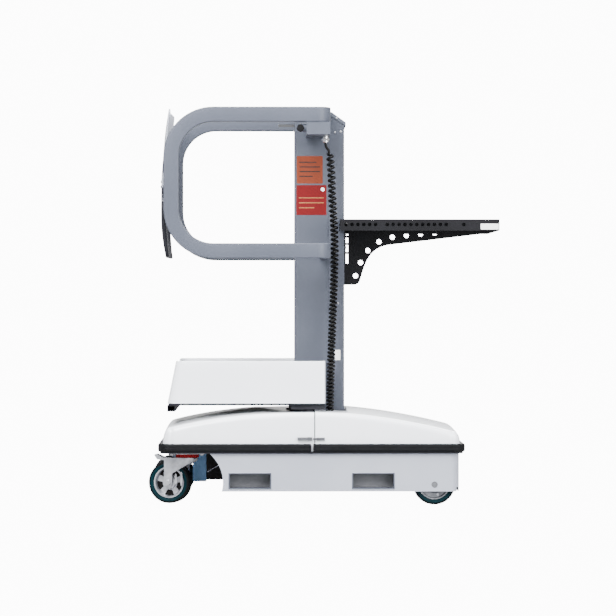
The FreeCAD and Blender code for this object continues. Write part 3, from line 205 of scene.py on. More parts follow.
def make_materials():
    """Every finish of the lift, by name."""
    MATERIALS.update({
        "panel": powder_coat("light_grey_powder_coat", "#979ba6", "#8e929d", 0.42),
        "hood": moulded_gloss("white_gel_coat", "#e9ecf2", "#e1e5ec", 0.22),
        "mast": powder_coat("silver_grey_paint", "#484c56", "#434751", 0.4, coat=0.03),
        "mast_dark": powder_coat("dark_grey_paint", "#1d1e23", "#17181c", 0.5),
        "black": powder_coat("black_powder_coat", "#17171a", "#101012", 0.42, 0.8),
        "blue": powder_coat("blue_paint", "#7097c0", "#668db5", 0.45),
        "bumper": moulded_rubber("charcoal_rubber", "#08090b", "#0d0e11", 0.55),
        "mat": moulded_rubber("ribbed_rubber", "#0d0e0f", "#161718", 0.6),
        "zinc": cast_metal("zinc_plated_steel", "#b6b8be", "#8b8e94", 0.36),
        "steel": cast_metal("draw_latch_steel", "#6f7276", "#56585c", 0.42),
        "chrome": brushed("hard_chrome", "#d0d0d2", "#bcbcbe", 0.12, "z"),
        "alloy": cast_metal("die_cast_aluminium", "#84868b", "#595b60", 0.38),
        "red": moulded_rubber("red_moulding", "#7c050d", "#60040a", 0.45),
        "plastic": moulded_rubber("black_moulding", "#0a0a0b", "#131315", 0.45),
        "grey": moulded_rubber("grey_moulding", "#5c5e62", "#4c4e52", 0.5),
        "teal": tread_urethane("teal_polyurethane", "#001d24", "#00161b", 0.5),
        # Near-black tread: worn running surface, plus painted shade for the tyre's shoulders turned
        # away from the light.
        "tread": tread_urethane("tread_wear_and_painted_shade", "#0b0d0f", "#060708", 0.55),
        "gate": powder_coat("gate_paint", "#999da6", "#9094a0", 0.38),
        "cable": moulded_rubber("cable_jacket", "#060607", "#0f0f10", 0.34),
        "amber": moulded_gloss("amber_film", "#6b2d18", "#632814", 0.4),
        "scarlet": moulded_gloss("red_film", "#5c0307", "#540206", 0.4),
        "pale": moulded_gloss("pale_film", "#8a5a38", "#825333", 0.4),
        "white": moulded_gloss("white_film", "#f2f2f2", "#eaeaea", 0.35),
        "ink": moulded_gloss("black_film", "#1b1b1c", "#141415", 0.4),
    })
    for key, level in SHEENS.items():
        shader = MATERIALS[key].node_tree.nodes["Principled BSDF"]
        shader.inputs["Specular IOR Level"].default_value = level


# ----------------------------------------------------------------- meshes


def new_piece(name, points, faces, material):
    """A new object at the origin from points and faces, shaded smooth."""
    mesh = bpy.data.meshes.new(name)
    mesh.from_pydata(np.asarray(points).reshape(-1, 3).tolist(), [], faces)
    mesh.validate()
    piece = bpy.data.objects.new(name, mesh)
    bpy.context.scene.collection.objects.link(piece)
    mesh.materials.append(material)
    mesh.polygons.foreach_set("use_smooth", [True] * len(mesh.polygons))
    return piece


def put_mesh(name, points, faces, material, body, slot, nodes=()):
    """A new piece riding on a body, with its normals and replaced nodes; slot is not used."""
    piece = new_piece(name, points, faces, MATERIALS[material])
    if nodes:
        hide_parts(*nodes)
    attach(piece, body)
    return tidy_normals(piece)


def hand_over(name, points, faces, material, body, slot, angle=35, nodes=()):
    """A new piece as above, shaded smooth between edges sharper than an angle."""
    return smooth_by_angle(put_mesh(name, points, faces, material, body, slot, nodes), angle)


def turned(name, profile, centre, axis, steps, material, body, slot, angle=35, nodes=()):
    """A profile turned round an axis and handed over."""
    return hand_over(name, *lathe(profile, centre, axis, steps), material, body, slot, angle,
                     nodes)


def grid_faces(rows, columns, close_rows=False, close_columns=False):
    """Quads of a grid of points, row by row, closed round either way."""
    down = rows if close_rows else rows - 1
    over = columns if close_columns else columns - 1
    r, c = np.meshgrid(np.arange(down), np.arange(over), indexing="ij")
    r2, c2 = (r + 1) % rows, (c + 1) % columns
    quads = np.stack([r * columns + c, r * columns + c2, r2 * columns + c2, r2 * columns + c], -1)
    return quads.reshape(-1, 4).tolist()


def capped(rows, columns, flip=False):
    """Faces of a stack of closed rings with a cap on the first and on the last ring."""
    first = list(range(columns))
    last = [(rows - 1) * columns + i for i in first]
    caps = [first[::-1], last] if flip else [first, last[::-1]]
    return grid_faces(rows, columns, False, True) + caps


def prism(count):
    """Faces of a solid between two outlines of so many points, its two ends first."""
    return ([list(range(count))[::-1], [count + i for i in range(count)]]
            + [[i, (i + 1) % count, count + (i + 1) % count, count + i] for i in range(count)])


def tidy_normals(piece, merge_mm=0.01):
    """Merge doubles and turn every face outwards."""
    work = bmesh.new()
    work.from_mesh(piece.data)
    bmesh.ops.remove_doubles(work, verts=work.verts, dist=merge_mm * MM)
    bmesh.ops.recalc_face_normals(work, faces=work.faces)
    work.to_mesh(piece.data)
    work.free()
    return piece


def modifier(piece, kind, name, **settings):
    """Add a modifier with its settings."""
    made = piece.modifiers.new(name, kind)
    for key, setting in settings.items():
        setattr(made, key, setting)
    return made


def smooth_by_angle(piece, degrees=35):
    """Smooth shading that keeps edges sharper than an angle."""
    mesh = piece.data
    mesh.polygons.foreach_set("use_smooth", [True] * len(mesh.polygons))
    mesh.set_sharp_from_angle(angle=math.radians(degrees))
    return piece


def body_of(node):
    """The body that a CAD node belongs to."""
    return next(name for name, members in frame["record"]["behaviour"]["bodies"].items()
                if node in members)


def reach_of(node):
    """How far a CAD node reaches from the middle plane, along Y."""
    low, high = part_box(node)
    return max(abs(low[1]), abs(high[1]))


def softened(node, material, bevel_mm, segments=2, angle=30):
    """A merged copy of a CAD node with its flat faces joined and its edges rolled."""
    mesh = frame["nodes"][node].data.copy()
    mesh.materials.clear()
    piece = bpy.data.objects.new(node + "_skin", mesh)
    bpy.context.scene.collection.objects.link(piece)
    work = bmesh.new()
    work.from_mesh(mesh)
    bmesh.ops.remove_doubles(work, verts=work.verts, dist=0.01 * MM)
    bmesh.ops.dissolve_limit(work, angle_limit=math.radians(1.0), verts=work.verts,
                             edges=work.edges)
    work.to_mesh(mesh)
    work.free()
    mesh.materials.append(MATERIALS[material])
    smooth_by_angle(piece, angle)
    modifier(piece, "BEVEL", "rolled_edges", width=bevel_mm * MM, segments=segments,
             limit_method="ANGLE", angle_limit=math.radians(angle), harden_normals=True)
    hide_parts(node)
    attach(piece, body_of(node))
    return piece


def paint(node, material):
    """Give a CAD node its finish."""
    slots = frame["nodes"][node].data.materials
    slots.clear()
    slots.append(MATERIALS[material])


def tube_mesh(path, section, up=None, closed=False):
    """A section of (across, up) points carried along a path.

    At each path point the frame is the path's direction, a level-keeping across
    vector and their cross product, turned with the path so that it never flips.
    """
    path = np.asarray(path, float)
    way = np.gradient(path, axis=0)
    if closed:
        way = np.roll(path, -1, axis=0) - np.roll(path, 1, axis=0)
    way /= np.linalg.norm(way, axis=1)[:, None]
    across = np.zeros_like(path)
    first = np.asarray(up if up is not None else (0, 0, 1), float)
    across[0] = np.cross(way[0], first)
    if np.linalg.norm(across[0]) < 1e-6:
        across[0] = np.cross(way[0], (1, 0, 0))
    across[0] /= np.linalg.norm(across[0])
    for i in range(1, len(path)):
        step = across[i - 1] - way[i] * np.dot(across[i - 1], way[i])
        across[i] = step / np.linalg.norm(step)
    lift = np.cross(across, way)
    section = np.asarray(section, float)
    points = (path[:, None, :] + across[:, None, :] * section[None, :, 0, None]
              + lift[:, None, :] * section[None, :, 1, None])
    if closed:
        return points.reshape(-1, 3), grid_faces(len(path), len(section), True, True)
    return points.reshape(-1, 3), capped(len(path), len(section), True)


def full_turn(steps):
    """Angles that go once round, evenly."""
    return np.linspace(0, 2 * math.pi, steps, endpoint=False)


def round_section(radius, steps=12):
    """A circle of points."""
    angle = full_turn(steps)
    return np.stack([np.cos(angle) * radius, np.sin(angle) * radius], -1)


def soft_rectangle(half_width, half_height, radius, steps=5):
    """A rectangle of points with round corners."""
    spots = []
    for sx, sy, start in ((1, 1, 0), (-1, 1, 90), (-1, -1, 180), (1, -1, 270)):
        angle = np.radians(start + np.linspace(0, 90, steps))
        spots.append(np.stack([sx * (half_width - radius) + np.cos(angle) * radius,
                               sy * (half_height - radius) + np.sin(angle) * radius], -1))
    return np.concatenate(spots)


def lathe(profile, centre, axis, steps=64):
    """A closed profile of (radius, height) points turned round an axis."""
    profile = np.asarray(profile, float)
    axis = np.asarray(axis, float) / np.linalg.norm(axis)
    side = np.cross(axis, (0, 0, 1)) if abs(axis[2]) < 0.9 else np.array([1.0, 0, 0])
    side /= np.linalg.norm(side)
    other = np.cross(axis, side)
    angle = full_turn(steps)
    ring = np.cos(angle)[:, None] * side + np.sin(angle)[:, None] * other
    points = (np.asarray(centre) + ring[:, None, :] * profile[None, :, 0, None]
              + axis * profile[None, :, 1, None])
    return points.reshape(-1, 3), grid_faces(steps, len(profile), True, True)


# ---------------------------------------------------------------- settings


class LiftHoods(bpy.types.PropertyGroup):
    """Sizes of the hoods, bumpers and skirt."""

    crown: FloatProperty(name="Crown", description="Rise of the hoods in the middle",
                         default=0.013, unit="LENGTH")
    edge: FloatProperty(name="Top edge", description="Radius along the hoods' top edges",
                        default=0.024, unit="LENGTH")
    seam: FloatProperty(name="Joint", description="Place of the joint between the hoods",
                        default=-0.035, unit="LENGTH")
    seam_gap: FloatProperty(name="Joint gap", description="Gap between the hoods",
                            default=0.004, unit="LENGTH")
    wall: FloatProperty(name="Wall", description="Moulded wall thickness", default=0.004,
                        unit="LENGTH")


class LiftRails(bpy.types.PropertyGroup):
    """Sizes of the guard rails and the gate."""

    tube: FloatProperty(name="Rail height", description="Rail section in its plane",
                        default=0.0566, unit="LENGTH")
    depth: FloatProperty(name="Rail depth", description="Rail section across",
                         default=0.040, unit="LENGTH")
    bend: FloatProperty(name="Corner", description="Bend radius at the middle of the tube",
                        default=0.160, unit="LENGTH")
    elbow: FloatProperty(name="Elbow", description="Bend radius at the mast", default=0.030,
                         unit="LENGTH")
    softness: FloatProperty(name="Section corner", description="Corner radius of the section",
                            default=0.0045, unit="LENGTH")


class LiftCable(bpy.types.PropertyGroup):
    """Sizes of the curly cable."""

    wire: FloatProperty(name="Wire", description="Diameter of the jacket", default=0.0098,
                        unit="LENGTH")
    coil: FloatProperty(name="Coil", description="Outer diameter of the coil", default=0.0325,
                        unit="LENGTH")
    turns: IntProperty(name="Turns", description="Turns of the coil", default=66)


class LiftWheels(bpy.types.PropertyGroup):
    """Sizes of the casters and drive wheels."""

    radius: FloatProperty(name="Radius", description="Wheel radius", default=0.080,
                          unit="LENGTH")
    width: FloatProperty(name="Width", description="Tread width", default=0.050, unit="LENGTH")
    swing: FloatProperty(name="Swing", description="How far the casters stand turned",
                         default=math.radians(15), unit="ROTATION")


class LiftStage(bpy.types.PropertyGroup):
    """The studio."""

    floor: FloatVectorProperty(name="Floor", description="Colour of the floor and dome",
                               default=(0.34, 0.34, 0.345), subtype="COLOR")
    air: FloatProperty(name="Air light", description="Strength of the light from all round",
                       default=0.9)
    glow: FloatProperty(name="Backdrop light", description="Light given off by the backdrop",
                        default=12.0)
    key_power: FloatProperty(name="Key light", description="Strength of the main soft light",
                             default=1150.0, unit="POWER")


GROUPS = {"lift_hoods": LiftHoods, "lift_rails": LiftRails, "lift_cable": LiftCable,
          "lift_wheels": LiftWheels, "lift_stage": LiftStage}


class LiftOperator:
    """What every operator of the lift shares."""

    bl_options = {"REGISTER", "UNDO"}


# ------------------------------------------------------------------- cord


def smooth_line(points, resolution=24):
    """The points of an order 3 NURBS line through end points, from control points."""
    curve = bpy.data.curves.new("route", "CURVE")
    curve.dimensions = "3D"
    spline = curve.splines.new("NURBS")
    spline.points.add(len(points) - 1)
    spline.points.foreach_set("co", np.hstack([points, np.ones((len(points), 1))]).ravel())
    spline.order_u = 3
    spline.use_endpoint_u = True
    spline.resolution_u = resolution
    line = bpy.data.objects.new("route", curve)
    mesh = bpy.data.meshes.new_from_object(line)
    flat = np.empty(len(mesh.vertices) * 3)
    mesh.vertices.foreach_get("co", flat)
    bpy.data.objects.remove(line)
    bpy.data.meshes.remove(mesh)
    bpy.data.curves.remove(curve)
    return flat.reshape(-1, 3)


def evenly(path, count):
    """The same path with evenly spaced points."""
    along = np.concatenate([[0], np.cumsum(np.linalg.norm(np.diff(path, axis=0), axis=1))])
    wanted = np.linspace(0, along[-1], count)
    return np.stack([np.interp(wanted, along, path[:, k]) for k in range(3)], -1)


class OBJECT_OT_lift_cable(LiftOperator, bpy.types.Operator):
    """Curly cable: a helix round the hanging line, with plain leads at both ends"""

    bl_idname = "object.lift_cable"
    bl_label = "Curly cable"

    def execute(self, context):
        sizes = context.scene.lift_cable
        route = np.array([(9, -190, 1372), (9, -190, 1358), (28, -190, 1336), (36, -190, 1150),
                          (46, -190, 990), (39, -190, 760), (29, -190, 520),
                          (24.5, -190, 290), (24.5, -190, 225)]) * MM
        line = evenly(smooth_line(route), 4000)
        along = np.concatenate([[0], np.cumsum(np.linalg.norm(np.diff(line, axis=0), axis=1))])
        total = along[-1]
        start, end = 0.034, total - 0.05
        part = np.clip((along - start) / (end - start), 0, 1)
        # The turns crowd together towards the bottom under their own weight.
        wound = part + 0.24 * (part ** 2 - part)
        radius = (sizes.coil - sizes.wire) / 2
        ease = 0.022
        grow = np.clip((along - start) / ease, 0, 1) * np.clip((end - along) / ease, 0, 1)
        grow = grow * grow * (3 - 2 * grow)
        sway = 1 + 0.035 * np.sin(along * 61.0) + 0.025 * np.sin(along * 147.0 + 1.3)
        angle = 2 * math.pi * sizes.turns * wound
        way = np.gradient(line, axis=0)
        way /= np.linalg.norm(way, axis=1)[:, None]
        side = np.cross(way, (0.0, 1.0, 0.0))
        side /= np.linalg.norm(side, axis=1)[:, None]
        other = np.cross(way, side)
        coil = line + (radius * grow * sway)[:, None] * (
            np.cos(angle)[:, None] * side + np.sin(angle)[:, None] * other)
        wire = evenly(coil, 2600)
        points, faces = tube_mesh(wire, round_section(sizes.wire / 2, 10), (0, 1, 0))
        piece = tidy_normals(new_piece("curly_cable_coil", points, faces, MATERIALS["cable"]))
        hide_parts("curly_cable")
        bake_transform(piece)
        return {"FINISHED"}


# ------------------------------------------------------- hoods and bumpers


def hood_top(distance, rear):
    """Height of a hood's top edge at a distance from the joint: level, then falling as
    the distance to a power."""
    if rear:
        return 0.349 - 0.060 * (distance / 0.558) ** 2.5
    return 0.351 - 0.077 * (distance / 0.535) ** 1.8


def hood_rows(rear, columns, sizes):
    """Cross-sections of a hood from its joint to its nose.

    Each section goes from the foot of one side, up the side, round the top edge, over
    a parabolic crown and down the other side. Sections close to the nose shrink in
    width along the plan's corner arc, and drop along the raked face.
    """
    low = 0.2015
    joint = sizes.seam - sizes.seam_gap / 2 if rear else sizes.seam + sizes.seam_gap / 2
    toward = -1 if rear else 1
    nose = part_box("hood_rear")[0][0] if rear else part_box("hood_front")[1][0]
    corner = 0.040 if rear else 0.034
    rake = 0.030
    length = abs(nose - joint)
    body = length - rake
    step = abs(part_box("mast_front_cover")[1][0] + 0.004 - joint)
    depth = np.concatenate([np.linspace(0, body - 0.03, columns), [step, step + 0.004],
                            body - 0.03 + 0.03 * np.linspace(0, 1, 7)[1:]])
    depth = np.sort(depth)
    half = 0.3615
    rows = []
    for d in depth:
        shrink = nose_shrink(d + rake * 0.35, length, corner)
        rows.append(hood_section(joint + toward * d, half - shrink, low, hood_top(d, rear), sizes,
                                 crown_share(d, step, rear)))
    top = hood_top(body, rear)
    foot = 0.238
    for t in np.linspace(0, 1, 8)[1:]:
        ease = math.sin(t * math.pi / 2)
        d = body + rake * ease
        shrink = nose_shrink(d, length, corner)
        height = top + (foot - top) * (1 - math.cos(t * math.pi / 2))
        rows.append(hood_section(joint + toward * d, half - shrink * 0.97, low, height, sizes,
                                 1 - 0.8 * t))
    return np.array(rows)


def nose_shrink(distance, length, corner):
    """How far a section draws in along the plan's corner arc near the nose."""
    inside = np.clip((distance - (length - corner)) / corner, 0, 1)
    return corner * (1 - math.sqrt(max(1 - inside ** 2, 0)))


def crown_share(distance, step, rear):
    """How much of the crown stands at a distance from the joint: none beside the mast,
    then a short step up in front of it or a long swell behind it."""
    start, width = (0.10, 0.13) if rear else (step, 0.004)
    part = min(max((distance - start) / width, 0.0), 1.0)
    return part * part * (3 - 2 * part)


def hood_section(x, half, low, top, sizes, crown=1.0):
    """One cross-section: foot, side, rounded edge, crowned top, and the same mirrored."""
    edge = min(sizes.edge, (top - low) * 0.45)
    up = np.linspace(low, top - edge, 6)
    side = np.stack([np.full(6, -half), up], -1)
    angle = np.linspace(0, math.pi / 2, 8)[1:]
    roll = np.stack([-half + edge * (1 - np.cos(angle)), top - edge + edge * np.sin(angle)], -1)
    across = np.linspace(-half + edge, 0, 12)[1:]
    rise = sizes.crown * crown * (1 - (across / (half - edge)) ** 2)
    over = np.stack([across, top + rise], -1)
    left = np.concatenate([side, roll, over])
    right = left[::-1][1:] * (-1, 1)
    line = np.concatenate([left, right])
    return np.insert(line, 0, x, axis=1)


def cut_box(piece, low, high):
    """Cut a box away from a piece with an exact boolean, and keep only the result."""
    low, high = np.array(low), np.array(high)
    points = [[(low, high)[(i >> k) & 1][k] for k in range(3)] for i in range(8)]
    faces = [(0, 2, 3, 1), (4, 5, 7, 6), (0, 1, 5, 4), (2, 6, 7, 3), (0, 4, 6, 2), (1, 3, 7, 5)]
    cut_with(piece, points, faces)


def cut_with(piece, points, faces):
    """Cut a closed mesh away from a piece and apply it."""
    mesh = bpy.data.meshes.new("cutter")
    mesh.from_pydata([tuple(p) for p in np.asarray(points)], [], faces)
    tool = bpy.data.objects.new("cutter", mesh)
    bpy.context.scene.collection.objects.link(tool)
    tidy_normals(tool)
    modifier(piece, "BOOLEAN", "cut", object=tool, operation="DIFFERENCE", solver="EXACT")
    apply_modifiers(piece)
    bpy.data.objects.remove(tool)
    bpy.data.meshes.remove(mesh)


def apply_modifiers(piece):
    """Bake every modifier into the mesh."""
    bpy.context.view_layer.update()
    depsgraph = bpy.context.evaluated_depsgraph_get()
    mesh = bpy.data.meshes.new_from_object(piece.evaluated_get(depsgraph))
    old = piece.data
    piece.modifiers.clear()
    piece.data = mesh
    mesh.name = old.name
    bpy.data.meshes.remove(old)


def thick_shell(piece, wall):
    """Give an open skin its wall, inwards."""
    modifier(piece, "SOLIDIFY", "wall", thickness=wall, offset=-1.0, use_even_offset=False)
    apply_modifiers(piece)


class OBJECT_OT_lift_hoods(LiftOperator, bpy.types.Operator):
    """Moulded hoods: crowned shells with rolled edges, a raked nose and a mast recess"""

    bl_idname = "object.lift_hoods"
    bl_label = "Hoods"

    def execute(self, context):
        sizes = context.scene.lift_hoods
        mast_low, mast_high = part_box("mast_shell")[0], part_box("mast_front_cover")[1]
        clear = 0.004
        for name, rear in (("hood_rear", True), ("hood_front", False)):
            rows = hood_rows(rear, 22, sizes)
            faces = grid_faces(len(rows), rows.shape[1])
            faces.append([(len(rows) - 1) * rows.shape[1] + i for i in range(rows.shape[1])])
            piece = put_mesh(name + "_moulding", rows, faces, "hood", "chassis", "hood_gloss",
                             (name,))
            self.face_outwards(piece)
            thick_shell(piece, sizes.wall)
            cut_box(piece, (mast_low[0] - 0.032, -MAST_HALF - clear, 0.1),
                    (mast_high[0] + clear, MAST_HALF + clear, 0.6))
            if not rear:
                self.cable_well(piece, sizes)
            else:
                self.groove(piece)
            smooth_by_angle(piece, 40)
            modifier(piece, "BEVEL", "cut_edges", width=0.0012, segments=2,
                     limit_method="ANGLE", angle_limit=math.radians(50))
        return {"FINISHED"}

    def face_outwards(self, piece):
        """Turn the open skin so that its top faces up."""
        work = bmesh.new()
        work.from_mesh(piece.data)
        lift = sum(face.normal.z * face.calc_area() for face in work.faces)
        if lift < 0:
            bmesh.ops.reverse_faces(work, faces=work.faces)
        work.to_mesh(piece.data)
        work.free()

    def cable_well(self, piece, sizes):
        """Round-ended recess that the curly cable drops into, open at the joint."""
        radius, (x, y) = 0.0215, CABLE_FOOT[:2]
        angle = np.linspace(-math.pi / 2, math.pi / 2, 17)
        arc = np.stack([x + np.cos(angle) * radius, y + np.sin(angle) * radius], -1)
        outline = np.concatenate([arc, [[sizes.seam - 0.02, y + radius],
                                        [sizes.seam - 0.02, y - radius]]])
        points = np.concatenate([np.insert(outline, 2, z, axis=1) for z in (0.28, 0.6)])
        cut_with(piece, points, prism(len(outline)))

    def groove(self, piece):
        """Long shallow slot along the sloping top of the rear hood."""
        start, end = Vector((-0.560, -0.262, 0)), Vector((-0.352, -0.212, 0))
        way = (end - start).normalized()
        side = Vector((-way.y, way.x, 0)) * 0.0035
        outline = [start - side, end - side, end + side, start + side]
        points = [(p.x, p.y, z) for z in (0.26, 0.6) for p in outline]
        cut_with(piece, points, prism(4))


class OBJECT_OT_lift_bumpers(LiftOperator, bpy.types.Operator):
    """Rubber bumpers: a bulged section with a rib along it, carried round the deck"""

    bl_idname = "object.lift_bumpers"
    bl_label = "Bumpers"

    def execute(self, context):
        whole_low, whole_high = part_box("bumper_rear")[0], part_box("bumper_front")[1]
        half = whole_high[1]
        gap = (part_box("bumper_rear")[1][0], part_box("bumper_front")[0][0])
        low, high = whole_low[2], whole_high[2]
        depth, middle, tall = 0.0165, (low + high) / 2, (high - low) / 2
        # Section: flat back, rounded face that bulges by a millimetre, two fine ribs.
        around = np.linspace(-1, 1, 25)
        bulge = (1 - np.abs(around) ** 6) * 0.0052 - 0.0008 * np.cos(around * 9.0) ** 8
        face = np.stack([bulge - 0.0052, middle + around * tall], -1)
        back = np.array([[-depth, high - 0.002], [-depth, low + 0.002]])
        section = np.concatenate([face, back])
        for name, x, corner, sign in (("bumper_rear", whole_low[0], 0.048, -1),
                                      ("bumper_front", whole_high[0], 0.042, 1)):
            seam = gap[0] if sign < 0 else gap[1]
            angle = np.linspace(0, math.pi / 2, 20)
            arc = np.stack([x - sign * corner + sign * np.sin(angle) * corner,
                            half - corner + np.cos(angle) * corner], -1)
            run = np.stack([np.linspace(seam, arc[0][0], 12)[:-1], np.full(11, half)], -1)
            quarter = np.concatenate([run, arc, [[x, 0.0]]])
            outs = np.concatenate([np.tile([0, 1.0], (11, 1)),
                                   np.stack([sign * np.sin(angle), np.cos(angle)], -1),
                                   [[sign * 1.0, 0.0]]])
            path = np.concatenate([quarter, quarter[::-1][1:] * (1, -1)])
            out = np.concatenate([outs, outs[::-1][1:] * (1, -1)])
            points = np.zeros((len(path), len(section), 3))
            points[:, :, :2] = path[:, None, :] + out[:, None, :] * section[None, :, 0, None]
            points[:, :, 2] = section[None, :, 1]
            hand_over(name + "_rubber", points, capped(len(path), len(section)), "bumper",
                      "chassis", "bumper_rubber", 50, (name,))
        return {"FINISHED"}


# ------------------------------------------------------ platform and rails


def skirt_ring(z, inset, steps=10):
    """Plan outline of the skirt at a height: round corners, entry end leaning in."""
    low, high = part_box("platform_skirt")
    part = (z - low[2]) / (high[2] - low[2])
    x0, x1 = low[0] + 0.032 * part + inset, high[0] - inset
    half = high[1] - 0.008 * part - inset
    spots = []
    for x, y, radius, start in ((x1, half, 0.012, 0), (x0, half, 0.040, 90),
                                (x0, -half, 0.040, 180), (x1, -half, 0.012, 270)):
        radius = max(radius - inset, 0.002)
        angle = np.radians(start + np.linspace(0, 90, steps))
        cx = x - math.copysign(radius, x - (x0 + x1) / 2)
        cy = y - math.copysign(radius, y)
        spots.append(np.stack([cx + np.cos(angle) * radius, cy + np.sin(angle) * radius,
                               np.full(steps, z)], -1))
    return np.concatenate(spots)


class OBJECT_OT_lift_platform(LiftOperator, bpy.types.Operator):
    """Platform: moulded skirt with a rolled rim, ribbed mat, floor and its brackets"""

    bl_idname = "object.lift_platform"
    bl_label = "Platform"

    def execute(self, context):
        self.skirt()
        self.mat()
        softened("platform_floor", "mast_dark", 0.8)
        self.carrier()
        return {"FINISHED"}

    def carrier(self):
        """Bracket under each side of the floor, its dark grey partly painted shade for the shade
        under the platform, with a small black stop knob.
        """
        middle = np.array([-0.060, 0.0, 0.3690])
        ring = soft_rectangle(0.065, 0.0110, 0.004) + middle[[0, 2]]
        knob = [(0.0, 0.0), (0.0045, 0.0), (0.0060, 0.0015), (0.0060, 0.0070),
                (0.0045, 0.0085), (0.0, 0.0085)]
        for side in (-1, 1):
            rows = [np.stack([ring[:, 0], np.full(len(ring), side * y), ring[:, 1]], -1)
                    for y in (0.236, 0.237, 0.299, 0.300)]
            for k in (0, 3):
                rows[k] = middle + (rows[k] - middle) * (0.985, 1, 0.92)
            # The brackets' dark grey is partly painted shade: it stands for the shade under the
            # platform beside the mast.
            hand_over(f"floor_bracket_{side + 1}", rows, capped(4, len(ring)), "mast_dark",
                      "carriage", "dark_steel", 40)
            turned(f"floor_stop_{side + 1}", knob, (-0.1245, side * 0.270, middle[2]),
                   (-1, 0, 0), 28, "plastic", "carriage", "black_plastic", 40)

    def skirt(self):
        """A ring of section points: outer face, rolled rim and inner face."""
        low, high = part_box("platform_skirt")
        wall, rim = 0.005, 0.0025
        levels = [(z, 0.0) for z in np.linspace(low[2], high[2] - rim, 7)]
        levels += [(high[2] - rim + rim * math.sin(a), wall / 2 - wall / 2 * math.cos(a))
                   for a in np.linspace(0, math.pi, 7)[1:-1]]
        levels += [(z, wall) for z in np.linspace(high[2] - rim, low[2], 7)]
        rows = np.array([skirt_ring(z, inset) for z, inset in levels])
        faces = grid_faces(len(rows), rows.shape[1], True, True)
        piece = put_mesh("platform_skirt_moulding", rows, faces, "hood", "carriage",
                         "hood_gloss", ("platform_skirt",))
        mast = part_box("mast_shell")
        cut_box(piece, (mast[0][0] - 0.001, -0.111, 0.3), (0.2, 0.111, 0.7))
        cut_box(piece, (low[0] - 0.1, -0.190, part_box("floor_mat")[1][2]), (-0.5, 0.190, 0.7))
        smooth_by_angle(piece, 40)
        modifier(piece, "BEVEL", "cut_edges", width=0.0018, segments=3,
                 limit_method="ANGLE", angle_limit=math.radians(50))

    def mat(self):
        """Ribs along X: a cosine wave across Y with a 7 mm pitch, flat in the valleys."""
        low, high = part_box("floor_mat")
        pitch, rib = 0.007, 0.0015
        count = int((high[1] - low[1]) / pitch) * 6
        across = np.linspace(low[1], high[1], count)
        wave = np.clip(np.cos(across / pitch * 2 * math.pi), 0, 1) ** 0.5 * rib
        top = high[2] - rib + wave
        rows = []
        for x in (low[0], high[0]):
            upper = np.stack([np.full(count, x), across, top], -1)
            under = np.array([[x, high[1], low[2]], [x, low[1], low[2]]])
            rows.append(np.concatenate([upper, under]))
        hand_over("floor_mat_ribs", rows, capped(2, len(rows[0]), True), "mat", "carriage",
                  "mat_rubber", 50, ("floor_mat",))


def rail_line(points, bends, steps=18):
    """Straight runs joined by arcs: the tangent points of each corner and the arc between."""
    points = [np.array(p, float) for p in points]
    line = [points[0]]
    for i in range(1, len(points) - 1):
        a = points[i - 1] - points[i]
        b = points[i + 1] - points[i]
        a, b = a / np.linalg.norm(a), b / np.linalg.norm(b)
        half = math.acos(np.clip(np.dot(a, b), -1, 1)) / 2
        back = bends[i - 1] / math.tan(half)
        middle = points[i] + (a + b) / np.linalg.norm(a + b) * bends[i - 1] / math.sin(half)
        start, end = points[i] + a * back, points[i] + b * back
        u, v = start - middle, end - middle
        turn = math.acos(np.clip(np.dot(u, v) / np.dot(u, u), -1, 1))
        for t in np.linspace(0, 1, steps):
            line.append(middle + (u * math.sin((1 - t) * turn) + v * math.sin(t * turn))
                        / math.sin(turn))
    line.append(points[-1])
    return np.array(line)


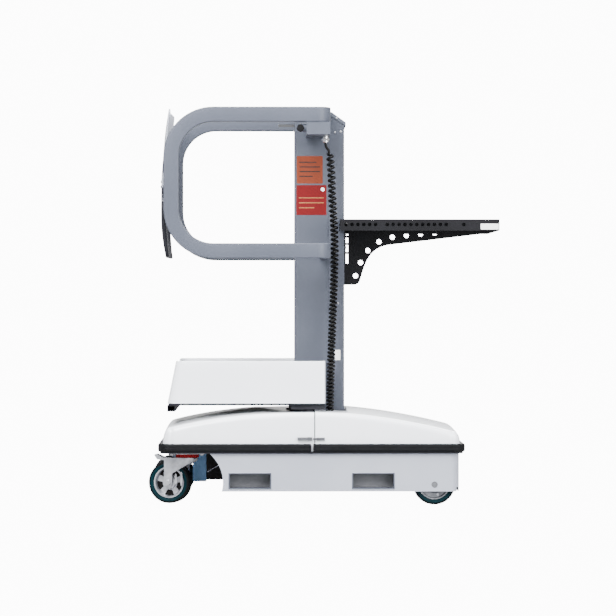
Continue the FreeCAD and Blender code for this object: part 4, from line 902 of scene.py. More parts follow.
class OBJECT_OT_lift_rails(LiftOperator, bpy.types.Operator):
    """Guard rails: a soft-cornered tube bent in a D and turned in to the mast"""

    bl_idname = "object.lift_rails"
    bl_label = "Guard rails"

    def execute(self, context):
        sizes = context.scene.lift_rails
        section = soft_rectangle(sizes.tube / 2, sizes.depth / 2, sizes.softness)
        for side, word in SIDES:
            low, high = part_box("guard_rail_" + word)
            z1, z0 = high[2] - sizes.tube / 2, low[2] + sizes.tube / 2
            y = side * (reach_of("guard_rail_" + word) - sizes.depth / 2)
            x, end = high[0] - sizes.depth / 2, low[0] + sizes.tube / 2
            root = side * MAST_HALF
            corners = [(x, root, z1), (x, y, z1), (end, y, z1), (end, y, z0), (x, y, z0),
                       (x, root, z0)]
            line = rail_line(corners, (sizes.elbow, sizes.bend, sizes.bend, sizes.elbow))
            hand_over(f"guard_rail_{word}_tube", self.carry(line, section, side),
                      capped(len(line), len(section)), "mast", "carriage", "mast_paint", 60,
                      ("guard_rail_" + word,))
            for number, z in enumerate((z1, z0)):
                self.collar(f"elbow_{word}_{number}", x, y, z, sizes)
        softened("rail_brackets", "mast", 2.0)
        return {"FINISHED"}

    def carry(self, line, section, side):
        """Carry the section so that its long way stays in the plane of the rail."""
        way = np.gradient(line, axis=0)
        way /= np.linalg.norm(way, axis=1)[:, None]
        flat = np.cross(way, (0, 0, 1))
        thin = np.tile((0.0, float(side), 0.0), (len(line), 1))
        level = np.linalg.norm(flat, axis=1) > 1e-3
        turning = np.abs(way[:, 2]) < 1e-3
        thin[turning & level] = flat[turning & level] / np.linalg.norm(
            flat[turning & level], axis=1)[:, None]
        for i in range(1, len(line)):
            if np.dot(thin[i], thin[i - 1]) < 0:
                thin[i] = -thin[i]
        tall = np.cross(thin, way)
        return (line[:, None, :] + tall[:, None, :] * section[None, :, 0, None]
                + thin[:, None, :] * section[None, :, 1, None])

    def collar(self, name, x, y, z, sizes):
        """Weld seam between the rail and its elbow: a low bead round the section."""
        section = soft_rectangle(sizes.tube / 2 - 0.0001, sizes.depth / 2 + 0.0003,
                                 sizes.softness)
        rows = []
        for dx, grow in ((-0.0022, -0.0012), (-0.001, 0.0), (0.001, 0.0), (0.0022, -0.0012)):
            shrunk = section * (1 + grow / 0.02)
            rows.append(np.stack([np.full(len(section), x - sizes.elbow + dx),
                                  y + shrunk[:, 1], z + shrunk[:, 0]], -1))
        hand_over(name, rows, capped(4, len(section)), "mast", "carriage", "mast_paint", 60)


LEAF_EDGE = 0.254


class OBJECT_OT_lift_gate(LiftOperator, bpy.types.Operator):
    """Entry gate: two bowed leaves, light paint above and dark below, the dark partly painted shade
    of the downward-bowed lower half, on pinned knuckles
    """

    bl_idname = "object.lift_gate"
    bl_label = "Entry gate"

    def execute(self, context):
        for side, word in SIDES:
            low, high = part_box("gate_" + word)
            self.panel(f"gate_{word}_upper", word, side, (1.148, high[2]), "gate", 0.007,
                       ("gate_" + word,))
            # The lower sheet's dark grey is partly painted shade: it stands for the shade on the
            # leaf's lower half, which bows away from the light.
            self.panel(f"gate_{word}_lower", word, side, (low[2], 1.1475), "mast_dark", 0.012)
            self.knuckles(word, side)
        paint("gate_hinges", "mast_dark")
        return {"FINISHED"}

    def bow(self, z, y):
        """Place along X of the outer face: two parabolas in height that meet at the belly,
        and a shallower one across, which turns the outer edge towards the rail."""
        low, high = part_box("gate_right")
        belly, belly_x, low_x, high_x = 1.120, -0.6235, -0.606, -0.594
        part = np.where(z < belly, (belly - z) / (belly - low[2]), (z - belly) / (high[2] - belly))
        end = np.where(z < belly, low_x, high_x)
        across = (np.abs(y) / LEAF_EDGE) ** 2
        return belly_x + (end - belly_x) * part ** 2.2 + 0.008 * across

    def panel(self, name, word, side, heights, material, thick, nodes=()):
        """A closed sheet with rolled edges: concentric rounded outlines, bent by the bow."""
        inner, outer = side * 0.008, side * LEAF_EDGE
        cy, cz = (inner + outer) / 2, sum(heights) / 2
        half_y, half_z = abs(outer - inner) / 2, (heights[1] - heights[0]) / 2
        front, back = [], []
        for inset, depth in ((0.0, 0.5), (0.0008, 0.18), (0.0030, 0.0), (0.035, 0.0),
                             (0.070, 0.0), (0.100, 0.0)):
            outline = soft_rectangle(half_y - inset, half_z - inset, 0.030 - min(inset, 0.026), 9)
            y, z = cy + outline[:, 0], cz + outline[:, 1]
            front.append(np.stack([self.bow(z, y) + thick * depth, y, z], -1))
            back.append(np.stack([self.bow(z, y) + thick * (1 - depth), y, z], -1))
        rows = front[::-1] + back
        hand_over(name, rows, capped(len(rows), len(rows[0])), material, "leaf_" + word,
                  "gate_alu", 45, nodes)

    def knuckles(self, word, side):
        """Hinge knuckles on the pins, with the ears that carry the leaf, and two screws."""
        barrel = [(0.0052, 0), (0.0098, 0), (0.011, 0.0012), (0.011, 0.0388),
                  (0.0098, 0.040), (0.0052, 0.040)]
        for number, z in enumerate((1.160, 1.255)):
            turned(f"gate_{word}_knuckle_{number}", barrel, (-0.585, side * 0.268, z),
                   (0, 0, 1), 32, "mast_dark", "leaf_" + word, "dark_steel")
            reach = float(self.bow(z, 0.250))
            ear = np.array([(reach + 0.002, side * 0.2570, z), (-0.590, side * 0.2740, z),
                            (-0.588, side * 0.2600, z), (reach + 0.005, side * 0.2440, z)])
            piece = put_mesh(f"gate_{word}_ear_{number}",
                             np.concatenate([ear, ear + (0, 0, barrel[-1][1])]), prism(4),
                             "mast_dark", "leaf_" + word, "dark_steel")
            piece.data.polygons.foreach_set("use_smooth", [False] * len(piece.data.polygons))
            modifier(piece, "BEVEL", "edges", width=0.0012, segments=2)
        screw = [(0.0, 0.0042), (0.003, 0.004), (0.0055, 0.0025), (0.006, 0.0), (0.0, 0.0)]
        for number, z in enumerate((1.203, 1.222)):
            seat = (float(self.bow(z, 0.225)) + 0.001, side * 0.225, z)
            put_mesh(f"gate_{word}_screw_{number}", *lathe(screw, seat, (-1, 0, 0), 24),
                     "zinc", "leaf_" + word, "zinc_steel")


# ------------------------------------------------------------------ wheels


def two_tone_tyre(name, body, centre, axle, sizes, nodes=()):
    """Cast tyre: a teal ring between rim and tread, and a dark crowned tread over it, its dark
    partly wear on the running surface and partly painted shade on the shoulders.
    """
    half, outer, inner = sizes.width / 2, sizes.radius, 0.0603
    # The dark band reaches down the side as far as this seam: painted shade on the curved shoulder,
    # plus wear.
    seam = outer - 0.0075
    ring = [(seam, half - 0.0012), (0.0715, half - 0.0004), (0.069, half - 0.0006),
            (0.0655, half - 0.0016), (inner + 0.001, half - 0.0022), (inner, half - 0.004)]
    profile = ring[::-1] + [(r, -h) for r, h in ring]
    turned(name + "_body", profile, centre, axle, 96, "teal", body, "teal_tread", 50, nodes)
    turn = np.linspace(0, math.pi / 2, 6)
    shoulder = [(outer - 0.0005 - 0.0040 * (1 - math.cos(a)), half - 0.0045
                 + 0.0045 * math.sin(a)) for a in turn]
    crown = [(outer - 0.0005 * u * u, u * (half - 0.0055)) for u in np.linspace(1, -1, 9)]
    low = [(seam - 0.0004, half - 0.0014), (seam, half - 0.0003)]
    profile = low + shoulder[::-1] + crown + [(r, -h) for r, h in shoulder]
    profile += [(r, -h) for r, h in low[::-1]]
    turned(name + "_tread", profile, centre, axle, 96, "tread", body, "dark_tread", 50)


def caster_axes(word, side, sizes):
    """Middle of a caster's wheel, the level way to its swivel axis, and its axle."""
    low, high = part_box("caster_wheel_" + word)
    ahead = np.array([math.cos(sizes.swing), side * math.sin(sizes.swing), 0.0])
    return (np.array(low) + np.array(high)) / 2, ahead, np.cross((0, 0, 1.0), ahead)


class OBJECT_OT_lift_casters(LiftOperator, bpy.types.Operator):
    """Casters: five-window rims, crowned two-tone tyres, pressed forks and toothed seals"""

    bl_idname = "object.lift_casters"
    bl_label = "Casters"

    def execute(self, context):
        sizes = context.scene.lift_wheels
        for side, word in SIDES:
            centre, ahead, axle = caster_axes(word, side, sizes)
            axle = axle * side
            two_tone_tyre("caster_tyre_" + word, "wheel_" + word, centre, axle, sizes,
                          ("caster_tyre_" + word,))
            self.rim(word, centre, axle, ahead)
            self.bolt(word, centre, axle)
        softened("caster_fork_right", "zinc", 1.2)
        softened("caster_fork_left", "zinc", 1.2)
        self.ribs(sizes)
        self.seals()
        for node, bevel_mm in (("caster_plates", 0.7), ("caster_bolts", 0.5),
                               ("brake_pedal_right", 0.7), ("brake_pedal_left", 0.7)):
            softened(node, "zinc", bevel_mm)
        return {"FINISHED"}

    def rim(self, word, centre, axle, ahead):
        """Rim: a rounded outer ring, a dished web with five cut windows and a long hub."""
        half = 0.020
        profile = [(0.0600, -half), (0.0600, half), (0.0588, half + 0.0012),
                   (0.0545, half + 0.0012), (0.0530, half - 0.0010), (0.0515, half - 0.0060),
                   (0.0480, 0.0062), (0.0330, 0.0046), (0.0262, 0.0075), (0.0250, half - 0.002),
                   (0.0238, half), (0.0075, half), (0.0075, -half), (0.0238, -half),
                   (0.0250, -half + 0.002), (0.0262, -0.0075), (0.0330, -0.0046),
                   (0.0480, -0.0062), (0.0515, -half + 0.0060), (0.0530, -half + 0.0010),
                   (0.0545, -half - 0.0012), (0.0588, -half - 0.0012)]
        piece = turned(f"caster_wheel_{word}_rim", profile, centre, axle, 120, "zinc",
                       "wheel_" + word, "cast_alu", 40, ("caster_wheel_" + word,))
        # A thin black disc across the middle of the rim fills the five windows: painted shade for
        # the dark inside of the rim's recesses.
        web = [(0.0245, -0.0012), (0.0525, -0.0012), (0.0525, 0.0012), (0.0245, 0.0012)]
        turned(f"caster_window_painted_shade_{word}", web, centre, axle, 96, "plastic", "wheel_" + word,
               "black_plastic")
        up = np.array([0, 0, 1.0])
        for number in range(5):
            middle = math.radians(56 + 72 * number)
            outline = []
            for radius, spread_degrees, steps in ((0.0503, 22, 9), (0.0290, -17, 7)):
                for t in np.linspace(-spread_degrees, spread_degrees, steps):
                    angle = middle + math.radians(t)
                    outline.append((radius * math.cos(angle), radius * math.sin(angle)))
            shape = [centre - a * ahead + b * up + axle * h for h in (-0.03, 0.03)
                     for a, b in outline]
            cut_with(piece, shape, prism(len(outline)))
        smooth_by_angle(piece, 40)
        modifier(piece, "BEVEL", "window_edges", width=0.0008, segments=2,
                 limit_method="ANGLE", angle_limit=math.radians(50))

    def seals(self):
        """Swivel seals: a red ring with slanted teeth all round.

        The radius follows a square wave with soft flanks, and its phase moves with the
        height, which slants the teeth.
        """
        low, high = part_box("caster_seals")
        angle = full_turn(288)
        for side, word in SIDES:
            rows = []
            for part in np.linspace(0, 1, 6):
                wave = np.tanh(3.0 * np.sin(26 * angle + 2.2 * part))
                radius = 0.0428 + 0.0014 * wave
                z = low[2] + 0.0006 + part * (high[2] - low[2] - 0.0016)
                rows.append(self.level_ring(side, radius, angle, z))
            rows += [self.level_ring(side, 0.0395, angle, rows[k][0][2]) for k in (-1, 0)]
            hand_over(f"caster_seal_{word}_teeth", rows, grid_faces(8, 288, True, True), "red",
                      "chassis", "red_plastic", 50, ("caster_seals",) if side < 0 else ())

    def level_ring(self, side, radius, angle, z):
        """A level ring of points round a swivel axis."""
        return np.stack([SWIVEL_X + radius * np.cos(angle),
                         side * SWIVEL_Y + radius * np.sin(angle),
                         np.full(len(angle), z)], -1)

    def bolt(self, word, centre, axle):
        """Hex axle heads on washers outside both fork cheeks."""
        washer = [(0.0, 0.0), (0.0125, 0.0), (0.0125, 0.0012), (0.0118, 0.0018), (0.0, 0.0018)]
        head = [(0.0, 0.0), (0.0104, 0.0), (0.0104, 0.0050), (0.0090, 0.0060), (0.0, 0.0060)]
        for end in (-1, 1):
            place = centre + axle * end * 0.0306
            turned(f"caster_washer_{word}_{end + 1}", washer, place, axle * end, 40, "zinc",
                   "caster_" + word, "zinc_steel")
            piece = turned(f"caster_head_{word}_{end + 1}", head, place + axle * end * 0.0018,
                           axle * end, 6, "zinc", "caster_" + word, "zinc_steel", 20)
            modifier(piece, "BEVEL", "edges", width=0.0006, segments=2,
                     limit_method="ANGLE")

    def ribs(self, sizes):
        """Two pressed ribs down each fork cheek: long low domes."""
        for side, word in SIDES:
            centre, ahead, axle = caster_axes(word, side, sizes)
            for end in (-1, 1):
                for number, along in enumerate((0.030, 0.052)):
                    foot = centre + ahead * along + axle * end * 0.0300
                    self.dome(f"fork_rib_{word}_{end + 1}_{number}", word,
                              foot + np.array([0, 0, 0.014]), axle * end, ahead,
                              0.0045, 0.021 + 0.006 * number, 0.0011)

    def dome(self, name, word, centre, out, ahead, half_width, half_height, rise):
        """Low rounded bump: an oval whose rise is one less the squared distance."""
        rows = []
        angle = full_turn(28)
        for ring in np.linspace(1, 0.0, 6):
            lift = rise * (1 - ring ** 2) - 0.0004
            rows.append(centre + np.cos(angle)[:, None] * ahead * half_width * max(ring, 0.02)
                        + np.sin(angle)[:, None] * np.array([0, 0, 1.0]) * half_height
                        * max(ring, 0.02) + out * lift)
        hand_over(name, rows, capped(6, 28, True), "zinc", "caster_" + word, "zinc_steel", 60)


class OBJECT_OT_lift_drive_wheels(LiftOperator, bpy.types.Operator):
    """Drive wheels: solid tyres on dished hubs with a bolt circle"""

    bl_idname = "object.lift_drive_wheels"
    bl_label = "Drive wheels"

    def execute(self, context):
        head = [(0.0, -0.002), (0.0058, -0.002), (0.0058, 0.0042), (0.0048, 0.0052),
                (0.0, 0.0052)]
        for side, word in SIDES:
            low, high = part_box("drive_wheel_" + word)
            centre = (np.array(low) + np.array(high)) / 2
            out = np.array([0, side * 1.0, 0])
            two_tone_tyre("drive_wheel_" + word, "drive_" + word, centre, out,
                          context.scene.lift_wheels)
            hub = [(0.0081, -0.024), (0.0602, -0.024), (0.0602, 0.0235), (0.0585, 0.0245),
                   (0.0550, 0.0240), (0.0520, 0.0150), (0.0350, 0.0135), (0.0300, 0.0200),
                   (0.0170, 0.0215), (0.0160, 0.0235), (0.0081, 0.0235)]
            turned(f"drive_hub_{word}", hub, centre, out, 96, "alloy", "drive_" + word,
                   "cast_alu", 35, ("drive_wheel_" + word,))
            seat = centre + out * 0.0137
            for number in range(5):
                angle = 2 * math.pi * number / 5
                spot = seat + np.array([math.cos(angle), 0, math.sin(angle)]) * 0.043
                turned(f"drive_nut_{word}_{number}", head, spot, out, 6, "zinc",
                       "drive_" + word, "zinc_steel", 20)
        return {"FINISHED"}


# -------------------------------------------------------- frame and chassis


class OBJECT_OT_lift_chassis(LiftOperator, bpy.types.Operator):
    """Chassis: folded frame, welded fork pockets, deck, plugs, latches and battery bay"""

    bl_idname = "object.lift_chassis"
    bl_label = "Chassis"

    def execute(self, context):
        # The fork pockets take the darker mast paint, not the panel grey: painted shade for the
        # dark inside of the tunnels.
        for row in (("base_frame", "panel", 1.2), ("fork_pockets", "mast", 0.8),
                    # The deck plate is real; its dark grey also stands as painted shadow for the
                    # band under the bumpers' overhang.
                    ("deck_plate", "mast_dark", 0.8), ("battery_box", "blue", 2.0, 3),
                    ("arch_liner", "black", 0.6), ("latch_right", "steel", 0.6),
                    ("latch_left", "steel", 0.6), ("latch_keepers", "steel", 0.4),
                    ("cable_socket", "chrome", 0.4)):
            softened(*row)
        for node, material in (("batteries", "plastic"), ("charger", "alloy"),
                               ("hydraulic_unit", "mast_dark"), ("drive_controller", "alloy"),
                               ("drive_units", "mast_dark"), ("lift_cylinder", "mast_dark"),
                               ("mast_column", "mast"), ("mast_stage_1", "mast"),
                               ("mast_stage_2", "mast"), ("mast_inner", "mast"),
                               ("plunger_1", "chrome"), ("plunger_2", "chrome"),
                               ("plunger_3", "chrome")):
            paint(node, material)
        self.pocket_lips()
        self.plugs()
        self.liner_strip()
        return {"FINISHED"}

    def pocket_lips(self):
        """Weld bead round each fork pocket's two ends, and a guessed grey curtain inside them whose
        grey is set to the tunnels' shade tone, so it is partly painted shade.
        """
        face, level, curtain = reach_of("fork_pockets") - 0.0021, 0.0915, 0.310
        for number, middle in enumerate((-0.2785, 0.1855)):
            outline = soft_rectangle(0.0805, 0.0305, 0.004, 4)
            for side in (-1, 1):
                ring = np.array([(middle + u, side * face, level + v) for u, v in outline])
                points, faces = tube_mesh(ring, round_section(0.0016, 8), (0, 1, 0), True)
                hand_over(f"pocket_weld_{number}_{side + 1}", points, faces, "panel", "chassis",
                          "panel_paint", 60)
            # The curtain closes the view through the tunnel; its grey partly stands as painted
            # shade.
            outline = soft_rectangle(0.0760, 0.0260, 0.002, 3)
            for side in (-1, 1):
                rows = [[(middle + u, side * curtain + y, level + v) for u, v in outline]
                        for y in (-0.001, 0.001)]
                hand_over(f"pocket_curtain_{number}_{side + 1}", rows, capped(2, len(outline)),
                          "grey", "chassis", "grey_plastic", 40)

    def plugs(self):
        """Cable plugs in the side panels: a domed cap with a raised rim."""
        out = reach_of("axle_plugs")
        profile = [(0.0, -0.003), (0.0117, -0.003), (0.0117, -0.0008), (0.0108, 0.0),
                   (0.0085, 0.0), (0.0076, -0.0010), (0.003, -0.0006), (0.0, -0.0005)]
        for side in (-1, 1):
            turned(f"axle_plug_{side + 1}", profile, (0.416, side * out, 0.078), (0, side, 0),
                   48, "grey", "chassis", "grey_plastic", 35,
                   ("axle_plugs",) if side < 0 else ())

    def liner_strip(self):
        """Pale edge tape running down the wheel-arch liner."""
        for side in (-1, 1):
            y = side * (reach_of("arch_liner") + 0.0002)
            start, end = np.array([-0.445, y, 0.110]), np.array([-0.394, y, 0.139])
            way = (end - start) / np.linalg.norm(end - start)
            across = np.cross(way, (0, 1.0, 0))
            out = np.array([0, side * 0.0006, 0])
            quad = [start - across * 0.0015, end - across * 0.0015, end + across * 0.0015,
                    start + across * 0.0015]
            points = np.array([q - out for q in quad] + [q + out for q in quad])
            hand_over(f"liner_tape_{side + 1}", points, prism(4), "panel", "chassis",
                      "white_plate", 30)


# ------------------------------------------------------------ mast and top


def flat_label(name, outline, y, side, material, lift=0.0004, slot="white_plate"):
    """Thin film on a side face: an outline in X and Z with a little thickness."""
    outline = np.asarray(outline)
    back = np.stack([outline[:, 0], np.full(len(outline), y), outline[:, 1]], -1)
    points = np.concatenate([back, back + (0, side * lift, 0)])
    return hand_over(name, points, prism(len(outline)), material, "carriage", slot, 30)


def placed_rectangle(x0, x1, z0, z1, radius):
    """A round-cornered outline between limits."""
    return soft_rectangle((x1 - x0) / 2, (z1 - z0) / 2, radius) + ((x0 + x1) / 2, (z0 + z1) / 2)


class OBJECT_OT_lift_mast(LiftOperator, bpy.types.Operator):
    """Mast: extruded shell with grooves, front cover, sloping lid, screws and blank labels"""

    bl_idname = "object.lift_mast"
    bl_label = "Mast"

    def execute(self, context):
        for node, bevel_mm in (("mast_shell", 1.5), ("mast_front_cover", 1.2),
                               ("mast_lid", 2.5)):
            softened(node, "mast", bevel_mm, 3)
        self.labels()
        self.screws()
        self.seams()
        return {"FINISHED"}

    def labels(self):
        """Blank films: amber and red panels, a round white mark and a white plate."""
        films = (("amber", (-0.100, 0.0, 1.220, 1.326), "amber"),
                 ("red", (-0.104, 0.017, 1.099, 1.214), "scarlet"))
        # Printed lines: name, finish, start, and the height and length of each.
        print_rows = (("line", "ink", -0.090, ((1.302, 0.066), (1.284, 0.080), (1.266, 0.080),
                                               (1.248, 0.052))),
                      ("row", "pale", -0.092, ((1.165, 0.096), (1.146, 0.096), (1.127, 0.060))))
        for side in (-1, 1):
            y = side * (reach_of("mast_shell") - 0.0001)
            on_film = y + side * 0.0004
            for word, limits, material in films:
                flat_label(f"label_{word}_{side + 1}", placed_rectangle(*limits, 0.003), y,
                           side, material)
            flat_label(f"label_dot_{side + 1}", round_section(0.0075, 32) + (0.0, 1.198),
                       on_film, side, "white", 0.0002)
            for word, material, start, rows in print_rows:
                for number, (z, width) in enumerate(rows):
                    outline = placed_rectangle(start, start + width, z - 0.002, z + 0.002, 0.001)
                    flat_label(f"label_{word}_{side + 1}_{number}", outline, on_film, side,
                               material, 0.0001)
        y = -(reach_of("mast_front_cover") - 0.0001)
        flat_label("plate_small", placed_rectangle(0.047, 0.068, 0.541, 0.580, 0.002), y, -1,
                   "white", 0.0006)

    def screws(self):
        """Pan-head screws on the lid and the front cover: domed heads with a slot."""
        profile = [(0.0, 0.0022), (0.0012, 0.0022), (0.0014, 0.0012), (0.0022, 0.0012),
                   (0.0024, 0.0022), (0.0036, 0.0018), (0.0046, 0.0008), (0.0048, 0.0),
                   (0.0, 0.0)]
        spots = ((0.054, 1.472, "mast_lid"), (0.047, 1.417, "mast_front_cover"),
                 (0.069, 1.420, "mast_front_cover"), (0.058, 0.760, "mast_front_cover"),
                 (0.058, 0.340, "mast_front_cover"))
        for side in (-1, 1):
            for number, (x, z, node) in enumerate(spots):
                y = side * (reach_of(node) - 0.0008)
                turned(f"screw_{side + 1}_{number}", profile, (x, y, z), (0, side, 0), 28,
                       "zinc", "carriage", "zinc_steel", 40)

    def seams(self):
        """Shallow extrusion ribs down both sides of the shell."""
        low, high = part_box("mast_shell")
        for side in (-1, 1):
            y = side * (reach_of("mast_shell") - 0.0004)
            for number, x in enumerate((-0.1035, 0.0165)):
                outline = placed_rectangle(x - 0.0020, x + 0.0020, low[2] + 0.004,
                                           high[2] - 0.004, 0.0018)
                flat_label(f"extrusion_rib_{side + 1}_{number}", outline, y, side, "mast",
                           0.0012, "mast_paint")


class OBJECT_OT_lift_controls(LiftOperator, bpy.types.Operator):
    """Controls: console, rubber boot and lever, mushroom stop, gland, socket and knobs"""

    bl_idname = "object.lift_controls"
    bl_label = "Controls"

    def execute(self, context):
        softened("control_box", "mast", 2.0, 3)
        softened("stop_button", "red", 1.2, 3)
        self.stick()
        self.gland()
        self.knobs()
        return {"FINISHED"}

    def stick(self):
        """Joystick: bellows boot of stacked rings under a tapered grip with a round top."""
        low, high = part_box("joystick")
        spot, up, widest = (-0.140, -0.045, 0.0), (0, 0, 1), 0.0190
        top, foot = high[2], 1.4755
        scale = min((high[0] - low[0]) / 2, widest) / widest
        boot = [(0.0, foot + 0.0002)]
        for i in range(3):
            r, z = widest - 0.0042 * i, foot + 0.0012 + 0.0022 * i
            boot += [(r * scale, z - 0.0010), (r * scale, z + 0.0006),
                     ((r - 0.0028) * scale, z + 0.0014)]
        shoulder = boot[-1][1]
        boot.append((0.0, shoulder))
        turned("joystick_boot", boot, spot, up, 40, "plastic", "carriage", "black_plastic", 50)
        stem = shoulder + 0.0024
        grip = [(0.0, stem - 0.0004), (0.0040, stem), (0.0052, stem + 0.001),
                (0.0048, top - 0.012), (0.0080, top - 0.009), (0.0088, top - 0.005),
                (0.0075, top - 0.0018), (0.004, top - 0.0003), (0.0, top)]
        turned("joystick_grip", grip, spot, up, 40, "plastic", "stick", "black_plastic", 50,
               ("joystick",))

    def gland(self):
        """Cable gland: hex body, ribbed cap and a rubber lip."""
        low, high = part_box("cable_gland")
        spot = CABLE_TOP[:2] + (low[2],)
        radius = min((high[0] - low[0]) / 2, 0.0145)
        third, bore = (high[2] - low[2]) / 3, 0.0045
        nut = [(bore, third), (radius * 0.95, third), (radius, third + 0.001),
               (radius, 2 * third - 0.001), (radius * 0.95, 2 * third), (bore, 2 * third)]
        cap = [(bore, 0.0), (radius * 0.62, 0.0), (radius * 0.80, 0.0018),
               (radius * 0.84, third), (bore, third)]
        neck = [(bore, 2 * third), (radius * 0.78, 2 * third), (radius * 0.78, 3 * third),
                (bore, 3 * third)]
        for name, profile, steps, angle in (("nut", nut, 6, 20), ("cap", cap, 48, 40),
                                            ("neck", neck, 48, 40)):
            turned("gland_" + name, profile, spot, (0, 0, 1), steps, "chrome", "carriage",
                   "chrome_steel", angle, ("cable_gland",) if name == "nut" else ())

    def knobs(self):
        """Fluted clamp knobs on the rail brackets: radius waves round eight lobes."""
        angle = full_turn(64)
        knob_x, knob_z = -0.0880, 1.4205
        for side in (-1, 1):
            y = side * (reach_of("rail_brackets") + 0.005)
            rows = []
            for radius, depth in ((0.004, 0.0), (0.0125, 0.0), (0.014, 0.0015), (0.014, 0.009),
                                  (0.0125, 0.0115), (0.004, 0.012)):
                wave = radius * (1 + 0.06 * np.cos(8 * angle) * (radius > 0.01))
                rows.append(np.stack([knob_x + wave * np.cos(angle),
                                      np.full(64, y - side * 0.006) + side * depth,
                                      knob_z + wave * np.sin(angle)], -1))
            hand_over(f"clamp_knob_{side + 1}", rows, capped(6, 64), "plastic", "carriage",
                      "black_plastic", 40)


# --------------------------------------------------------------- load tray


class OBJECT_OT_lift_tray(LiftOperator, bpy.types.Operator):
    """Load tray: folded perforated sheet, notched arms and a blank plate"""

    bl_idname = "object.lift_tray"
    bl_label = "Load tray"

    def execute(self, context):
        softened("load_tray", "black", 1.0)
        softened("tray_arms", "black", 0.7)
        softened("tray_plate", "white", 0.4)
        self.bolts()
        return {"FINISHED"}

    def bolts(self):
        """Bolt heads on the front of the plate behind the arms."""
        plate_front, across = 0.0896, 0.040
        head = [(0.0, 0.0035), (0.0050, 0.0030), (0.0064, 0.0014), (0.0066, 0.0), (0.0, 0.0)]
        for side in (-1, 1):
            for number, z in enumerate((0.976, 1.028)):
                turned(f"arm_bolt_{side + 1}_{number}", head, (plate_front, side * across, z),
                       (1, 0, 0), 28, "zinc", "tray", "zinc_steel", 40)


# ------------------------------------------------------------------- stage


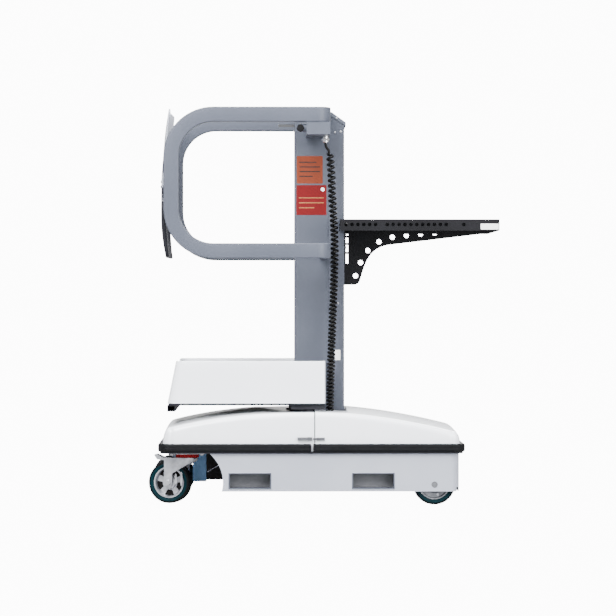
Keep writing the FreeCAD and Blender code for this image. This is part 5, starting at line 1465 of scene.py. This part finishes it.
class OBJECT_OT_lift_stage(LiftOperator, bpy.types.Operator):
    """Studio: glowing dome, unseen floor, large soft lights and the camera"""

    bl_idname = "object.lift_stage"
    bl_label = "Studio"

    def execute(self, context):
        sizes = context.scene.lift_stage
        made = [self.backdrop(sizes, "backdrop", sizes.glow),
                self.light("key_light", (-2.4, -4.2, 4.4), 3.4, sizes.key_power),
                self.light("fill_light", (3.6, -4.6, 2.2), 3.6, sizes.key_power * 0.5),
                self.light("top_light", (0.2, -0.6, 5.0), 3.2, sizes.key_power * 0.5),
                self.light("back_light", (0.5, 3.6, 3.4), 3.0, sizes.key_power * 0.35)]
        glow, bounce = made[0], self.backdrop(sizes, "floor_bounce", 0.0)
        glow.visible_diffuse = glow.visible_glossy = glow.visible_shadow = False
        bounce.visible_camera = False
        made += [bounce, self.camera()]
        world = bpy.data.worlds.new("studio_air")
        world.use_nodes = True
        sky = world.node_tree.nodes["Background"]
        sky.inputs["Color"].default_value = (1.0, 1.0, 1.0, 1)
        sky.inputs["Strength"].default_value = sizes.air
        context.scene.world = world
        return {"FINISHED"}

    def backdrop(self, sizes, name, strength):
        """A glowing dome that is seen, or a level floor that is unseen and returns light."""
        if strength:
            reach = 30.0
            angle = full_turn(48)
            rows = [[(reach * math.cos(t) * math.cos(a), reach * math.cos(t) * math.sin(a),
                      reach * math.sin(t)) for a in angle]
                    for t in np.linspace(-math.pi / 2 + 0.02, math.pi / 2 - 0.02, 25)]
            faces = capped(25, 48)
        else:
            rows = [[(x, y, 0.0) for y in (-9.0, 0.0, 9.0)] for x in (-9.0, 0.0, 9.0)]
            faces = grid_faces(3, 3)
        material, _, shader, _ = finish(name + "_paper", "#ffffff", 0.9)
        shader.inputs["Base Color"].default_value = tuple(sizes.floor) + (1,)
        shader.inputs["Specular IOR Level"].default_value = 0.1
        shader.inputs["Emission Color"].default_value = (1.0, 1.0, 1.0, 1)
        shader.inputs["Emission Strength"].default_value = strength
        piece = new_piece(name, rows, faces, material)
        mesh = piece.data
        work = bmesh.new()
        work.from_mesh(mesh)
        if sum(face.normal.z for face in work.faces) < 0:
            bmesh.ops.reverse_faces(work, faces=work.faces)
        work.to_mesh(mesh)
        work.free()
        return piece

    def light(self, name, place, size, power):
        """A square soft light that faces the middle of the machine."""
        data = bpy.data.lights.new(name, "AREA")
        data.shape, data.size, data.energy = "SQUARE", size, power
        lamp = bpy.data.objects.new(name, data)
        lamp.location = place
        aim = Vector((0, 0, 0.75)) - Vector(place)
        lamp.rotation_euler = aim.to_track_quat("-Z", "Y").to_euler()
        bpy.context.scene.collection.objects.link(lamp)
        return lamp

    def camera(self):
        """Long lens from far off on the right side, a little to the rear."""
        data = bpy.data.cameras.new("side_camera")
        data.lens, data.sensor_width = 163.6, 36.0
        data.clip_end = 60
        eye = bpy.data.objects.new("side_camera", data)
        eye.location = (-0.214, -10.88, 0.772)
        aim = Vector((-0.055, 0.0, 0.741)) - eye.location
        eye.rotation_euler = aim.to_track_quat("-Z", "Y").to_euler()
        bpy.context.scene.collection.objects.link(eye)
        bpy.context.scene.camera = eye
        return eye


# ------------------------------------------------------------------- panel


OPERATORS = (OBJECT_OT_lift_hoods, OBJECT_OT_lift_bumpers, OBJECT_OT_lift_chassis,
             OBJECT_OT_lift_casters, OBJECT_OT_lift_drive_wheels, OBJECT_OT_lift_mast,
             OBJECT_OT_lift_controls, OBJECT_OT_lift_platform, OBJECT_OT_lift_rails,
             OBJECT_OT_lift_gate, OBJECT_OT_lift_tray, OBJECT_OT_lift_cable,
             OBJECT_OT_lift_stage)


class VIEW3D_PT_lift(bpy.types.Panel):
    """Sizes and pieces of the lift, in the sidebar."""

    bl_idname = "VIEW3D_PT_lift"
    bl_label = "Mast Personnel Lift"
    bl_space_type = "VIEW_3D"
    bl_region_type = "UI"
    bl_category = "Lift"

    def draw(self, context):
        for key, group in GROUPS.items():
            box = self.layout.box()
            settings = getattr(context.scene, key)
            for name in group.__annotations__:
                box.prop(settings, name)
        for operator in OPERATORS:
            self.layout.operator(operator.bl_idname)


CLASSES = tuple(GROUPS.values()) + OPERATORS + (VIEW3D_PT_lift,)


def register():
    """Register every class and hang the settings on the scene."""
    for item in CLASSES:
        bpy.utils.register_class(item)
    for key, group in GROUPS.items():
        setattr(bpy.types.Scene, key, PointerProperty(type=group))


def unregister():
    """Take the settings and the classes away again."""
    for key in GROUPS:
        delattr(bpy.types.Scene, key)
    for item in reversed(CLASSES):
        bpy.utils.unregister_class(item)


def main():
    """Build every piece in order."""
    register()
    make_materials()
    for operator in OPERATORS:
        group, name = operator.bl_idname.split(".")
        getattr(getattr(bpy.ops, group), name)()


if __name__ == "__main__":
    main()
